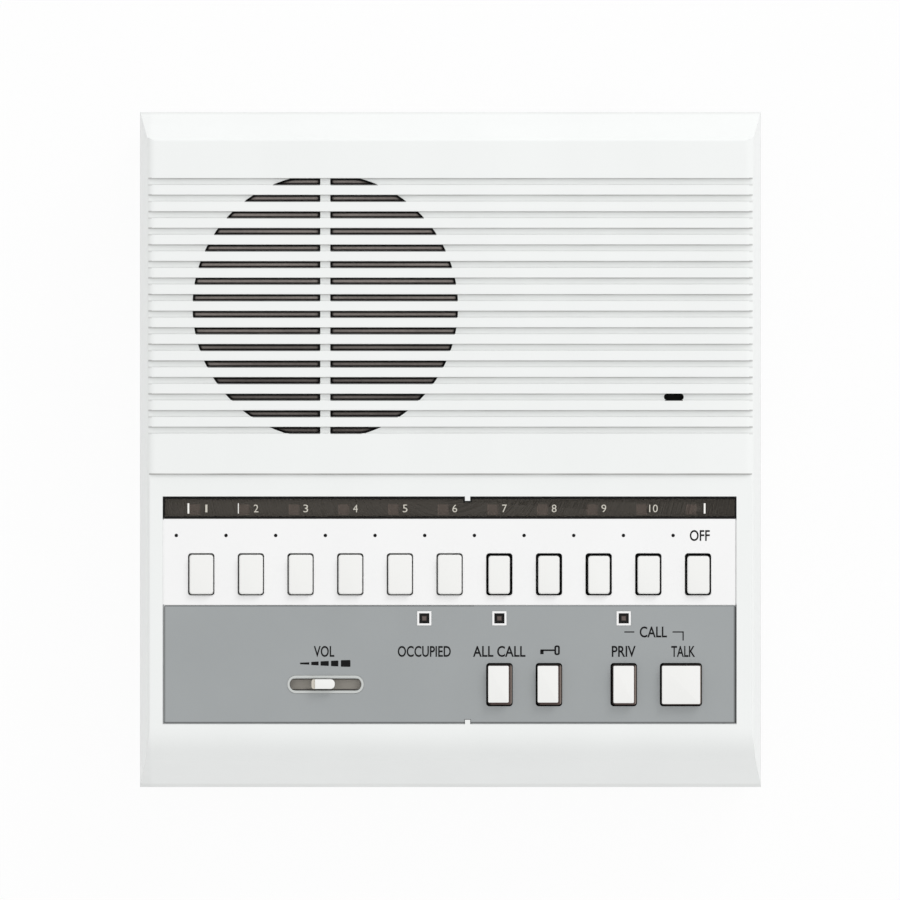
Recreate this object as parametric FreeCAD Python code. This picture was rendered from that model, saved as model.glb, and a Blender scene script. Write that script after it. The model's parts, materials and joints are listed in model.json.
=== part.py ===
"""A ten-station desk intercom in separate pieces: cases, control panel, keys, loudspeaker and boards.

Lengths are millimetres. The intercom lies on its back on a desk: +Z points out of its face,
+Y to the far edge with the loudspeaker, +X to the right. The origin is on the desk, under the
middle of the case.
"""
import FreeCAD, Part
import math
import os

Vector = FreeCAD.Vector

# Whole case
case_width = 211.4
case_length = 229.8
foot_height = 2.5
rear_height = 21.5
cover_height = 28.0
overrun = 1.0
bury = 0.5
round_end_share = 0.49
fit_gap = 0.15

# Front cover
cover_wall = 2.4
bevel_run = 9.6
bevel_radius = 1.0
chin_run = 12.7
chin_radius = 12.0
side_run = 2.9
shoulder_radius = 3.0
seam_share = -0.03655
seam_step = 0.8
skirt_reach = 12.0

# Grooves over the loudspeaker deck
groove_count = 16
groove_pitch = 5.624
groove_width = 2.3
groove_floor_width = 2.1
groove_depth = 1.2
first_groove_reach = 43.6
grille_radius = 45.05
grille_bar = 3.4

# Tray for the control panel
panel_gap = 0.4
panel_drop = 0.2
ledge_width = 2.2
ledge_thickness = 1.6
tray_wall = 1.6
tab_x = 5.8
tab_width = 1.8
tab_reach = 1.5

# Control panel
panel_x = -0.3
panel_side = 8.73
panel_seam_margin = 7.94
panel_chin_margin = 9.4
panel_thickness = 2.0
panel_corner = 0.6
strip_length = 7.21
strip_depth = 1.1
white_length = 29.2
overlay_thickness = 0.25
overlay_gap = 0.15
collar_wall = 1.0
collar_depth = 2.6
hook_width = 8.0
hook_thickness = 1.4
hook_nose = 1.2
hook_drop = 1.6
hook_places = (1, 4, 8)

# Name strip
card_thickness = 0.2
lamp_window_width = 3.2
lamp_window_length = 4.0
lamp_shift = 2.1

# Station keys
key_count = 11
key_pitch_share = 0.086934
key_row_drop = 26.16
key_hole_width = 9.0
key_hole_length = 14.7
key_hole_corner = 1.1
key_side_gap = 0.5
key_proud = 2.0
key_skirt = 5.5
key_wall = 1.0
key_roof = 1.2
key_draft = 0.2
key_edge = 0.45
key_nip_share = 0.6
key_travel = 2.5

# Stems and interlock bar
stem_width = 3.2
stem_length = 4.2
stem_depth = 2.8
stem_socket_wall = 1.0
stem_socket_depth = 3.6
nose_reach = 1.2
nose_gap = 0.2
bar_thickness = 1.0
bar_gap = 0.3
bar_shift = 1.3
bar_side = 2.0
bar_end = 3.0

# Function keys
function_row_rise = 13.0
function_travel = 2.8
function_proud = 3.2
function_draft = 0.05
function_edge = 0.25
function_shelf = 0.42
function_shelf_rise = 0.5
talk_extra = 5.3
all_call_share = 0.0785
door_share = 0.158
privacy_share = 0.2781
talk_share = 0.3699

# Status lamps
lamp_row_drop = 4.55
lamp_frame = 4.85
lamp_lens = 3.3
lamp_proud = 0.15
lamp_flange = 0.7
lamp_flange_depth = 1.2
occupied_share = -0.0421

# Volume slider
volume_share = -0.2006
volume_row_rise = 13.1
volume_slot_length = 24.4
volume_slot_width = 4.5
volume_rim = 0.75
volume_rim_proud = 0.2
knob_rest = -0.6
knob_length = 8.3
knob_width = 4.2
knob_proud = 3.0
knob_foot = 0.9
knob_corner = 1.9
knob_edge = 0.6
knob_lift = 0.25
shoulder_width = 1.1
shoulder_drop = 0.6
lever_width = 3.0
lever_thickness = 1.4
lever_dip = 3.2
shutter_length = 41.0
shutter_width = 8.0
shutter_thickness = 0.5
pot_length = 40.0
pot_width = 9.0
pot_height = 7.0
pot_foot = 2.0
pot_top_drop = 11.0

# Main board and what stands on it
board_level = 16.0
board_thickness = 1.6
board_side = 11.7
board_far_margin = 3.84
board_near_margin = 1.2
selector_height = 13.6
selector_width = 9.4
selector_length = 20.0
selector_waist = 0.7
well_clear = 0.5
switch_length = 15.0
switch_width = 10.5
switch_height = 13.0
frame_thickness = 1.2
frame_far_margin = 1.84
frame_side = 1.0
frame_lip = 3.0
frame_foot = 5.0
bulb_width = 2.8
bulb_length = 3.4
bulb_bevel = 0.5
bulb_base = 4.6
transformer_share = -0.369
transformer_drop = 11.0
transformer_width = 22.0
transformer_length = 19.0
transformer_height = 16.0
transformer_yoke = 6.0
winding_bulge = 3.0
chip_length = 20.0
chip_width = 7.0
chip_height = 3.4
chip_shares = (-0.189, 0.2086)
capacitor_shares = (-0.0566, 0.0189, 0.324, -0.0805)
capacitor_drops = (18.0, 16.0, 8.0, 6.5)
capacitor_radii = (5.0, 4.0, 4.0, 3.2)
capacitor_heights = (16.0, 12.0, 12.0, 11.0)

# Loudspeaker
speaker_side = 63.2
speaker_share = 0.21105
cloth_thickness = 0.4
cloth_radius = 47.5
gasket_height = 1.5
gasket_width = 1.5
speaker_width = 94.0
speaker_corner = 8.0
flange_inner_radius = 43.5
flange_thickness = 1.2
speaker_screw_circle = 54.0
speaker_boss = 4.0
basket_depth = 18.0
basket_wall = 1.2
basket_floor_radius = 25.0
basket_band_share = 0.2
basket_spoke = 9.0
cone_thickness = 0.5
cone_rim = 3.0
roll_width = 4.5
roll_height = 1.4
cone_drop = 14.5
coil_radius = 9.0
coil_length = 6.0
dust_radius = 11.0
dust_height = 3.5
plate_radius = 23.5
plate_thickness = 3.0
magnet_radius = 27.0
magnet_height = 9.0
pole_radius = 8.0
coil_gap = 0.6

# Microphone
microphone_side = 29.9
microphone_groove = 13
microphone_slot_length = 6.7
microphone_slot_width = 2.3
capsule_radius = 4.85
capsule_height = 5.0
boot_wall = 2.0
boot_height = 7.5
boot_ring_wall = 1.5
boot_ring_depth = 5.0

# Rear case
rear_wall = 2.4
rear_floor = 2.5
rear_inset = 1.6
rear_taper = 1.5
rear_chamfer = 1.6
tongue_gap = 0.3
tongue_thickness = 1.3
tongue_height = 2.5
post_radius = 4.5
post_height = 24.0
far_post_side = 10.7
far_post_margin = 16.4
near_post_side = 9.7
near_post_margin = 14.9
stand_width = 6.0
stand_side = 7.0
stand_far_margin = 6.0
stand_near_margin = 6.5
rib_thickness = 1.5
rib_height = 3.0
rib_margin = 10.0
rib_share = -0.2838
vent_count = 5
vent_pitch = 7.0
vent_width = 2.6
vent_first_x = 14.0
vent_margin = 24.9
vent_length = 24.0
wall_hole_radius = 2.25
wall_hole_span_x = 46.0
wall_hole_span_y = 83.5

# Terminal bay
bay_side = 56.7
bay_margin = 42.9
bay_width = 50.0
bay_length = 40.0
bay_skirt = 1.5
bay_height = 11.0
cable_width = 14.0
cable_height = 6.5
terminal_board_margin = 7.0
terminal_count = 8
terminal_pitch = 5.6
terminal_width = 9.0
terminal_height = 7.5
terminal_row_span = 22.0
terminal_screw_radius = 1.5

# Feet and fasteners
foot_radius = 7.0
foot_chamfer = 0.8
foot_side = 16.7
foot_margin = 34.9
screw_radius = 1.5
screw_head_radius = 2.7
screw_head_height = 1.8
board_screw_length = 8.0
case_head_radius = 3.1
case_head_height = 2.4
case_head_recess = 7.0
case_screw_length = 34.0
cross_width = 0.8
cross_depth = 1.0
hole_gap = 0.1

# Levels worked out from the sizes above
rim_z = foot_height + rear_height
deck_z = rim_z + cover_height
control_z = deck_z - seam_step
deck_under = deck_z - cover_wall
control_under = control_z - cover_wall
panel_top = control_z - panel_drop
panel_under = panel_top - panel_thickness
strip_floor = panel_top - strip_depth
panel_far_y = case_length * seam_share - panel_seam_margin
panel_near_y = chin_run + panel_chin_margin - case_length / 2
panel_length = panel_far_y - panel_near_y
panel_width = case_width - 2 * panel_side
strip_near_y = panel_far_y - strip_length
white_near_y = strip_near_y - white_length
panel_left_x = panel_x - panel_width / 2
panel_right_x = panel_x + panel_width / 2
floor_top = foot_height + rear_floor
board_under = floor_top + board_level
board_top = board_under + board_thickness
selector_top = board_top + selector_height
bar_under = selector_top + bar_gap
bar_top = bar_under + bar_thickness
nose_under = bar_top + nose_gap
nose_top = nose_under + key_travel - bar_thickness - 2 * nose_gap
frame_under = nose_top + nose_gap
frame_top = frame_under + frame_thickness
flange_top = deck_under - cloth_thickness - gasket_height
flange_under = flange_top - flange_thickness
basket_under = flange_under - basket_depth
groove_floor = deck_z - groove_depth

# Places worked out from the sizes above
seam_y = case_length * seam_share
speaker_x = speaker_side - case_width / 2
speaker_y = case_length * speaker_share
first_groove_y = speaker_y + first_groove_reach
microphone_x = case_width / 2 - microphone_side
microphone_y = first_groove_y - microphone_groove * groove_pitch - groove_width / 2
key_pitch = panel_width * key_pitch_share
key_width = key_hole_width - 2 * key_side_gap
key_length = key_hole_length - 2 * key_side_gap
key_y = panel_far_y - key_row_drop
lamp_row_y = white_near_y - lamp_row_drop
function_y = panel_near_y + function_row_rise
volume_x = case_width * volume_share
volume_y = panel_near_y + volume_row_rise
all_call_x = case_width * all_call_share
door_x = case_width * door_share
privacy_x = case_width * privacy_share
talk_x = case_width * talk_share
occupied_x = case_width * occupied_share
board_half_width = case_width / 2 - board_side
board_far_y = panel_far_y + board_far_margin
board_near_y = panel_near_y - board_near_margin
frame_half_width = board_half_width - frame_side
frame_far_y = panel_far_y + frame_far_margin
frame_near_y = key_y - selector_length / 2 - bar_gap - frame_thickness
bay_x = case_width / 2 - bay_side
bay_y = case_length / 2 - bay_margin
vent_far_y = vent_margin + vent_length - case_length / 2


def box(x0, x1, y0, y1, z0, z1):
    """A block between two corners."""
    return Part.makeBox(x1 - x0, y1 - y0, z1 - z0, Vector(x0, y0, z0))


def block(x, y, width, length, z0, z1):
    """A block centred on x and y."""
    return box(x - width / 2, x + width / 2, y - length / 2, y + length / 2, z0, z1)


def rod(x, y, radius, z0, z1):
    """An upright cylinder."""
    return Part.makeCylinder(radius, z1 - z0, Vector(x, y, z0))


def eight_sided(x, y, radius, z0, z1):
    """An upright eight-sided rod, for the shanks, bosses and bores that repeat inside the case."""
    turns = [(i + 0.5) * math.pi / 4 for i in range(8)]
    corners = [Vector(x + radius * math.cos(turn), y + radius * math.sin(turn), z0) for turn in turns]
    return Part.Face(Part.makePolygon(corners + corners[:1])).extrude(Vector(0, 0, z1 - z0))


def rounded_wire(corners, radii):
    """A closed flat outline through the corners, each rounded by its radius."""
    count = len(corners)
    starts = []
    middles = []
    ends = []
    for i in range(count):
        corner = corners[i]
        back = (corners[i - 1] - corner).normalize()
        ahead = (corners[(i + 1) % count] - corner).normalize()
        half = back.getAngle(ahead) / 2
        inward = (back + ahead).normalize() if radii[i] > 0 else Vector()
        reach = radii[i] / math.tan(half)
        starts.append(corner + back * reach)
        middles.append(corner + inward * (radii[i] / math.sin(half) - radii[i]))
        ends.append(corner + ahead * reach)
    edges = []
    for i in range(count):
        if radii[i] > 0:
            edges.append(Part.Arc(starts[i], middles[i], ends[i]).toShape())
        edges.append(Part.LineSegment(ends[i], starts[(i + 1) % count]).toShape())
    return Part.Wire(edges)


def shrunk(corners, inset, facing):
    """Corners of the outline whose sides lie inset further in, seen counterclockwise along facing."""
    count = len(corners)
    moved = []
    for i in range(count):
        before = facing.cross(corners[i] - corners[i - 1]).normalize()
        after = facing.cross(corners[(i + 1) % count] - corners[i]).normalize()
        moved.append(corners[i] + (before + after) * (inset / (1 + before.dot(after))))
    return moved


def plate_wire(x, y, width, length, radius, z):
    """A level rectangle with equal round corners."""
    right = x + width / 2
    left = x - width / 2
    far = y + length / 2
    near = y - length / 2
    corners = [Vector(left, near, z), Vector(right, near, z), Vector(right, far, z), Vector(left, far, z)]
    return rounded_wire(corners, [radius] * len(corners))


def plate(x, y, width, length, radius, z0, z1):
    """A level plate with round corners."""
    return Part.Face(plate_wire(x, y, width, length, radius, z0)).extrude(Vector(0, 0, z1 - z0))


def revolved(x, y, corners):
    """A ring or disc from radius and height corners, turned about an upright axis."""
    points = [Vector(x + radius, y, z) for radius, z in corners]
    face = Part.Face(Part.makePolygon(points + points[:1]))
    return face.revolve(Vector(x, y, 0), Vector(0, 0, 1), 360)


def joined(shapes):
    """One solid from shapes that overlap."""
    return shapes[0].fuse(shapes[1:]).removeSplitter()


def crossed(side, side_radii, front, front_radii, inset):
    """Solid whose outline is side along X and front along Y, each set in by inset."""
    shapes = []
    for corners, radii, facing in ((side, side_radii, Vector(1, 0, 0)), (front, front_radii, Vector(0, -1, 0))):
        kept = [max(radius - inset, 0) for radius in radii]
        wire = rounded_wire(shrunk(corners, inset, facing), kept)
        reach = facing * (case_width + case_length) * 2
        wire.translate(reach * -0.5)
        shapes.append(Part.Face(wire).extrude(reach))
    return shapes[0].common(shapes[1])


def tapered(x, y, width, length, levels):
    """Block centred on x and y; levels lists heights with the inset of all four sides there."""
    side = []
    front = []
    for z, inset in levels:
        side.append(Vector(0, y + length / 2 - inset, z))
        front.append(Vector(x - width / 2 + inset, 0, z))
    for z, inset in levels[::-1]:
        side.append(Vector(0, y - length / 2 + inset, z))
        front.append(Vector(x + width / 2 - inset, 0, z))
    sharp = [0] * len(side)
    return crossed(side, sharp, front[::-1], sharp, 0)


def hood(inset, low):
    """The cover's form with every face set in by inset, from the level low upwards."""
    drop = skirt_reach / cover_height
    far = case_length / 2
    wide = case_width / 2
    chin_top = seam_step * chin_run / cover_height
    skirt_z = rim_z - skirt_reach
    side = [
        Vector(0, far + bevel_run * drop, skirt_z),
        Vector(0, far - bevel_run, deck_z),
        Vector(0, seam_y, deck_z),
        Vector(0, seam_y, control_z),
        Vector(0, chin_run - chin_top - far, control_z),
        Vector(0, -far - chin_run * drop, skirt_z),
    ]
    side_radii = [0, bevel_radius, 0, 0, chin_radius, 0]
    front = [
        Vector(-wide - side_run * drop, 0, skirt_z),
        Vector(wide + side_run * drop, 0, skirt_z),
        Vector(wide - side_run, 0, deck_z),
        Vector(side_run - wide, 0, deck_z),
    ]
    front_radii = [0, 0, shoulder_radius, shoulder_radius]
    above = block(0, 0, 2 * case_width, 2 * case_length, low, deck_z + overrun)
    return crossed(side, side_radii, front, front_radii, inset).common(above)


def key_x(index):
    """Centre of one place in the row of station keys."""
    return panel_x + (index - (key_count - 1) / 2) * key_pitch


def lamp_x(index):
    """Centre of one lamp behind the name strip; the last sits over the off key."""
    return key_x(index) - (lamp_shift if index < key_count - 1 else 0)


def groove_y(index):
    """Centre line of one groove."""
    return first_groove_y - index * groove_pitch - groove_width / 2


def speaker_screw_places():
    """Four screws in the corners of the loudspeaker's flange."""
    reach = speaker_screw_circle / math.sqrt(2)
    return [(speaker_x + i * reach, speaker_y + j * reach) for i in (-1, 1) for j in (-1, 1)]


def case_screw_places():
    """Four screws near the corners of the case."""
    half_x = case_width / 2
    half_y = case_length / 2
    far = [(i * (half_x - far_post_side), half_y - far_post_margin) for i in (-1, 1)]
    near = [(i * (half_x - near_post_side), near_post_margin - half_y) for i in (-1, 1)]
    return far + near


def board_screw_places():
    """Stands under the main board."""
    half = board_half_width - stand_side
    far = [(i * half, board_far_y - stand_far_margin) for i in (-1, 1)]
    near = [(i * half, board_near_y + stand_near_margin) for i in (-1, 0, 1)]
    return far + near


def terminal_screw_places():
    """Stands under the corners of the terminal board."""
    reach_x = bay_width / 2 + terminal_board_margin / 2
    reach_y = bay_length / 2 + terminal_board_margin / 2
    return [(bay_x + i * reach_x, bay_y + j * reach_y) for i in (-1, 1) for j in (-1, 1)]


def function_keys():
    """Name, place and cap width of the four function keys."""
    return (
        ("all_call_key", all_call_x, key_width),
        ("door_key", door_x, key_width),
        ("privacy_key", privacy_x, key_width),
        ("talk_key", talk_x, key_width + talk_extra),
    )


def grooves():
    """Full-width grooves and the slots that open them over the loudspeaker."""
    tools = []
    disc = rod(speaker_x, speaker_y, grille_radius, deck_under - overrun, groove_floor + bury)
    bar = block(speaker_x, speaker_y, grille_bar, 3 * grille_radius, deck_under - 2 * overrun, deck_z)
    left = -case_width / 2 - overrun
    spread = (groove_width - groove_floor_width) / 2
    for index in range(groove_count):
        y = groove_y(index)
        half = groove_floor_width / 2
        slope = spread / groove_depth
        top = half + spread + overrun * slope
        corners = [
            Vector(left, y - half, groove_floor),
            Vector(left, y + half, groove_floor),
            Vector(left, y + top, deck_z + overrun),
            Vector(left, y - top, deck_z + overrun),
        ]
        face = Part.Face(Part.makePolygon(corners + corners[:1]))
        tools.append(face.extrude(Vector(case_width + 2 * overrun, 0, 0)))
        slot = block(speaker_x, y, 3 * grille_radius, groove_floor_width,
                     deck_under - overrun, groove_floor + bury)
        tools.append(slot.common(disc).cut(bar))
    return tools


def front_cover():
    """Ribbed hood with its tray, bosses and locating tabs."""
    shell = hood(0, rim_z).cut(hood(cover_wall, rim_z - overrun))
    room = hood(cover_wall / 2, rim_z - overrun)
    tray_x0 = panel_left_x - panel_gap
    tray_x1 = panel_right_x + panel_gap
    tray_y0 = panel_near_y - panel_gap
    tray_y1 = panel_far_y + panel_gap
    tray_low = panel_under - ledge_thickness
    frame = box(tray_x0 - tray_wall, tray_x1 + tray_wall, tray_y0 - tray_wall, tray_y1 + tray_wall,
                tray_low, control_under + bury)
    added = [frame]
    for x, y in case_screw_places():
        added.append(eight_sided(x, y, post_radius, floor_top + post_height, deck_under + bury))
    for x, y in speaker_screw_places():
        added.append(block(x, y, 2 * speaker_boss, 2 * speaker_boss, flange_top, deck_under + bury))
    ring = boot_ring_wall + fit_gap + boot_wall + capsule_radius
    ring_low = deck_under - boot_ring_depth
    added.append(rod(microphone_x, microphone_y, ring, ring_low, deck_under + bury))
    cover = joined([shell] + [piece.common(room) for piece in added])
    tools = grooves()
    tools.append(box(tray_x0, tray_x1, tray_y0, tray_y1, panel_under, control_z + overrun))
    tools.append(box(tray_x0 + ledge_width, tray_x1 - ledge_width, tray_y0 + ledge_width, tray_y1 - ledge_width,
                     tray_low - overrun, panel_under + overrun))
    for x, y in case_screw_places():
        high = foot_height + case_head_recess + case_screw_length + overrun
        tools.append(eight_sided(x, y, screw_radius + hole_gap, floor_top + post_height - overrun, high))
    for x, y in speaker_screw_places():
        tools.append(eight_sided(x, y, screw_radius + hole_gap, flange_top - overrun, deck_under))
    tools.append(rod(microphone_x, microphone_y, ring - boot_ring_wall, ring_low - overrun, deck_under))
    tools.append(plate(microphone_x, microphone_y, microphone_slot_length, microphone_slot_width,
                       microphone_slot_width * round_end_share, deck_under - overrun, deck_z + overrun))
    cover = cover.cut(tools)
    tabs = []
    for edge, way in ((tray_y1, -1), (tray_y0, 1)):
        tabs.append(block(tab_x, edge + way * (tab_reach - bury) / 2, tab_width, tab_reach + bury,
                          panel_under - bury, control_z))
    return joined([cover] + tabs)


def tab_notches(z0, z1):
    """Notches that clear the cover's two tabs."""
    width = tab_width + 2 * fit_gap
    deep = tab_reach + fit_gap
    far = box(tab_x - width / 2, tab_x + width / 2, panel_far_y + panel_gap - deep, panel_far_y + overrun, z0, z1)
    near = box(tab_x - width / 2, tab_x + width / 2, panel_near_y - overrun, panel_near_y - panel_gap + deep, z0, z1)
    return [far, near]


def function_openings(z0, z1):
    """Openings for the four function keys."""
    tools = []
    for name, x, width in function_keys():
        tools.append(plate(x, function_y, width + 2 * key_side_gap, key_hole_length, key_hole_corner, z0, z1))
    return tools


def status_places():
    """Centres of the three square lamps."""
    return [(occupied_x, lamp_row_y), (all_call_x, lamp_row_y), (privacy_x, lamp_row_y)]


def volume_ring(grow, z0, z1):
    """Round-ended slot of the volume slider, larger by grow all round."""
    width = volume_slot_width + 2 * grow
    return plate(volume_x, volume_y, volume_slot_length + 2 * grow, width, width * round_end_share, z0, z1)


def control_panel():
    """White panel with its strip rabbet, overlay bed, key collars and snap hooks."""
    y = (panel_far_y + panel_near_y) / 2
    body = plate(panel_x, y, panel_width, panel_length, panel_corner, panel_under, panel_top)
    bed = panel_top - overlay_thickness
    x0 = panel_left_x - overrun
    x1 = panel_right_x + overrun
    high = panel_top + overrun
    body = body.cut([box(x0, x1, strip_near_y, panel_far_y + overrun, strip_floor, high),
                     box(x0, x1, panel_near_y - overrun, white_near_y, bed, high)])
    added = []
    for x, lamp_y in status_places():
        added.append(block(x, lamp_y, lamp_frame, lamp_frame, bed - bury, panel_top + lamp_proud))
    added.append(volume_ring(volume_rim, bed - bury, panel_top + volume_rim_proud))
    low = panel_under - collar_depth
    for index in range(key_count):
        added.append(block(key_x(index), key_y, key_hole_width + 2 * collar_wall, key_hole_length + 2 * collar_wall,
                           low, panel_under + bury))
    for name, x, width in function_keys():
        added.append(block(x, function_y, width + 2 * key_side_gap + 2 * collar_wall,
                           key_hole_length + 2 * collar_wall, low, panel_under + bury))
    inner = ledge_width - panel_gap + fit_gap
    tip = panel_under - ledge_thickness - hook_drop
    gaps = [lamp_x(index) + key_pitch / 2 for index in hook_places]
    hooks = [(x, panel_far_y, -1) for x in gaps]
    hooks += [(x, panel_near_y, 1) for x in gaps[:-1] + [(door_x + privacy_x) / 2]]
    for x, edge, way in hooks:
        arm = edge + way * (inner + hook_thickness / 2)
        added.append(block(x, arm, hook_width, hook_thickness, tip, panel_under + bury))
        added.append(hook_wedge(x, edge + way * (inner + bury), way, tip))
    body = joined([body] + added)
    below = panel_under - overrun
    tools = tab_notches(below, high) + function_openings(low - overrun, high) + [volume_ring(0, below, high)]
    for index in range(key_count):
        tools.append(plate(key_x(index), key_y, key_hole_width, key_hole_length, key_hole_corner,
                           low - overrun, high))
        tools.append(block(lamp_x(index), (panel_far_y + strip_near_y) / 2, lamp_window_width, lamp_window_length,
                           below, panel_top))
    for x, lamp_y in status_places():
        tools.append(block(x, lamp_y, lamp_lens + fit_gap, lamp_lens + fit_gap, below, high))
    return body.cut(tools)


def hook_wedge(x, root_y, way, tip):
    """Nose of a snap hook, which reaches under the tray's ledge."""
    top = panel_under - ledge_thickness - fit_gap
    out = root_y - way * (hook_nose + bury)
    left = x - hook_width / 2
    corners = [Vector(left, root_y, top), Vector(left, out, top), Vector(left, root_y, tip)]
    return Part.Face(Part.makePolygon(corners + corners[:1])).extrude(Vector(hook_width, 0, 0))


def overlay_sheet():
    """Grey sheet in the panel's lower bed, open round the keys, lamps and slider rim."""
    far = white_near_y - overlay_gap
    y = (far + panel_near_y) / 2
    bed = panel_top - overlay_thickness
    sheet = plate(panel_x, y, panel_width, far - panel_near_y, panel_corner, bed, panel_top)
    low = bed - overrun
    high = panel_top + overrun
    tools = tab_notches(low, high) + function_openings(low, high)
    tools.append(volume_ring(volume_rim + fit_gap / 2, low, high))
    for x, lamp_y in status_places():
        tools.append(block(x, lamp_y, lamp_frame + fit_gap, lamp_frame + fit_gap, low, high))
    return sheet.cut(tools)


def name_card():
    """Card under the smoked window, with an aperture for each lamp."""
    near = strip_near_y + overlay_gap
    y = (panel_far_y + near) / 2
    top = strip_floor + card_thickness
    card = plate(panel_x, y, panel_width, panel_far_y - near, panel_corner, strip_floor, top)
    tools = tab_notches(strip_floor - overrun, top + overrun)
    for index in range(key_count):
        tools.append(block(lamp_x(index), y, lamp_window_width, lamp_window_length, strip_floor - overrun, top + overrun))
    return card.cut(tools)


def name_window():
    """Smoked strip over the card."""
    near = strip_near_y + overlay_gap
    low = strip_floor + card_thickness
    strip = plate(panel_x, (panel_far_y + near) / 2, panel_width, panel_far_y - near, panel_corner, low, panel_top)
    return strip.cut(tab_notches(low - overrun, panel_top + overrun))


def cap(x, y, width, top, levels):
    """Hollow key cap with nipped corners; levels lists heights above its foot with the inset there."""
    low = panel_top - key_skirt
    corner = key_hole_corner - key_side_gap / 2
    tools = [block(x, y, width - 2 * key_wall, key_length - 2 * key_wall, low - overrun, top - key_roof)]
    for i in (-1, 1):
        for j in (-1, 1):
            nip = block(x, y, 2 * corner, 2 * corner, low - overrun, top + overrun)
            nip.rotate(Vector(x, y, 0), Vector(0, 0, 1), 45)
            reach = corner * math.sqrt(2) - corner * key_nip_share
            nip.translate(Vector(i * (width / 2 + reach), j * (key_length / 2 + reach), 0))
            tools.append(nip)
    return tapered(x, y, width, key_length, [(low, 0)] + levels).cut(tools)


def station_cap(index):
    """Cap of one station key, with the socket that its stem is pressed into."""
    x = key_x(index)
    top = panel_top + key_proud
    under = top - key_roof
    low = under - stem_socket_depth
    socket = block(x, key_y, stem_width + 2 * stem_socket_wall, stem_length + 2 * stem_socket_wall,
                   low, under + bury)
    well = block(x, key_y, stem_width + hole_gap, stem_length + hole_gap, low - overrun, under)
    levels = [(panel_top, 0), (top - key_edge, key_draft), (top, key_draft + key_edge)]
    return joined([cap(x, key_y, key_width, top, levels), socket]).cut(well)


def station_stem(index):
    """Stem of one station key, with the nose that the interlock bar catches."""
    x = key_x(index)
    top = panel_top + key_proud - key_roof
    low = selector_top - stem_depth
    shaft = block(x, key_y, stem_width, stem_length, low, top)
    edge = x + stem_width / 2
    near = key_y - stem_length / 2
    corners = [
        Vector(edge - bury, near, nose_top),
        Vector(edge + nose_reach, near, nose_top),
        Vector(edge, near, nose_under),
        Vector(edge - bury, near, nose_under),
    ]
    nose = Part.Face(Part.makePolygon(corners + corners[:1])).extrude(Vector(0, stem_length, 0))
    return joined([shaft, nose])


def function_key(x, width):
    """One-piece function key: a narrower head on a shelf, and the stem."""
    top = panel_top + function_proud
    shelf = panel_top + function_shelf_rise
    inset = function_shelf + function_draft
    levels = [(shelf, 0), (shelf, function_shelf), (top - function_edge, inset), (top, inset + function_edge)]
    head = cap(x, function_y, width, top, levels)
    low = board_top + switch_height - stem_depth
    return joined([head, block(x, function_y, stem_width, stem_length, low, top - key_roof + bury)])


def interlock_bar():
    """Sliding bar with a slot round each station stem."""
    left = key_x(0) - stem_width / 2 - bar_end - bar_gap
    right = key_x(key_count - 1) + stem_width / 2 + nose_reach + bar_end + bar_gap
    width = stem_length + 2 * bar_gap + 2 * bar_side
    bar = box(left, right, key_y - width / 2, key_y + width / 2, bar_under, bar_top)
    tools = []
    for index in range(key_count):
        x = key_x(index)
        tools.append(box(x - stem_width / 2 - bar_gap, x + stem_width / 2 + nose_gap + bar_shift,
                         key_y - stem_length / 2 - bar_gap, key_y + stem_length / 2 + bar_gap,
                         bar_under - overrun, bar_top + overrun))
    return bar.cut(tools)


def selector_switches():
    """Eleven switch bodies on the main board, each with a well for its stem and nose."""
    bodies = []
    for index in range(key_count):
        x = key_x(index)
        body = block(x, key_y, selector_width, selector_length, board_top, selector_top)
        waist_low = board_top + selector_height / 3
        waist_high = selector_top - selector_height / 4
        tools = []
        for side in (-1, 1):
            face = x + side * selector_width / 2
            tools.append(block(face, key_y, 2 * selector_waist, selector_length / 2, waist_low, waist_high))
        tools.append(box(x - stem_width / 2 - fit_gap, x + stem_width / 2 + nose_reach + bar_gap,
                         key_y - stem_length / 2 - fit_gap, key_y + stem_length / 2 + fit_gap,
                         selector_top - stem_depth - key_travel - well_clear, selector_top + overrun))
        bodies.append(body.cut(tools))
    return Part.Compound(bodies)


def function_switches():
    """Four momentary switch bodies on the main board."""
    bodies = []
    top = board_top + switch_height
    for name, x, width in function_keys():
        body = block(x, function_y, switch_width, switch_length, board_top, top)
        collar = block(x, function_y, stem_width + 2 * stem_socket_wall, stem_length + 2 * stem_socket_wall,
                       top - bury, top + overrun)
        well = block(x, function_y, stem_width + 2 * fit_gap, stem_length + 2 * fit_gap,
                     top - stem_depth - function_travel - well_clear, top + 2 * overrun)
        bodies.append(joined([body, collar]).cut(well))
    return Part.Compound(bodies)


def switch_frame():
    """Folded steel frame over the switch bank, which also carries the station lamps."""
    sheet = box(-frame_half_width, frame_half_width, frame_near_y, frame_far_y, frame_under, frame_top)
    added = [box(-frame_half_width, frame_half_width, frame_near_y, frame_near_y + frame_thickness,
                 frame_under - frame_lip, frame_under + bury / 2)]
    for side in (-1, 1):
        inner = side * (frame_half_width - frame_thickness)
        outer = side * frame_half_width
        added.append(box(min(inner, outer), max(inner, outer), frame_near_y, frame_far_y,
                         board_top, frame_under + bury / 2))
        foot = side * (frame_half_width - frame_foot)
        foot_near = key_y + selector_length / 2 + bar_gap
        added.append(box(min(foot, outer), max(foot, outer), foot_near, foot_near + 2 * frame_foot,
                         board_top, board_top + frame_thickness))
    frame = joined([sheet] + added)
    tools = []
    for index in range(key_count):
        tools.append(block(key_x(index), key_y, stem_width + 2 * fit_gap, stem_length + 2 * fit_gap,
                           frame_under - overrun, frame_top + overrun))
    return frame.cut(tools)


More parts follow.
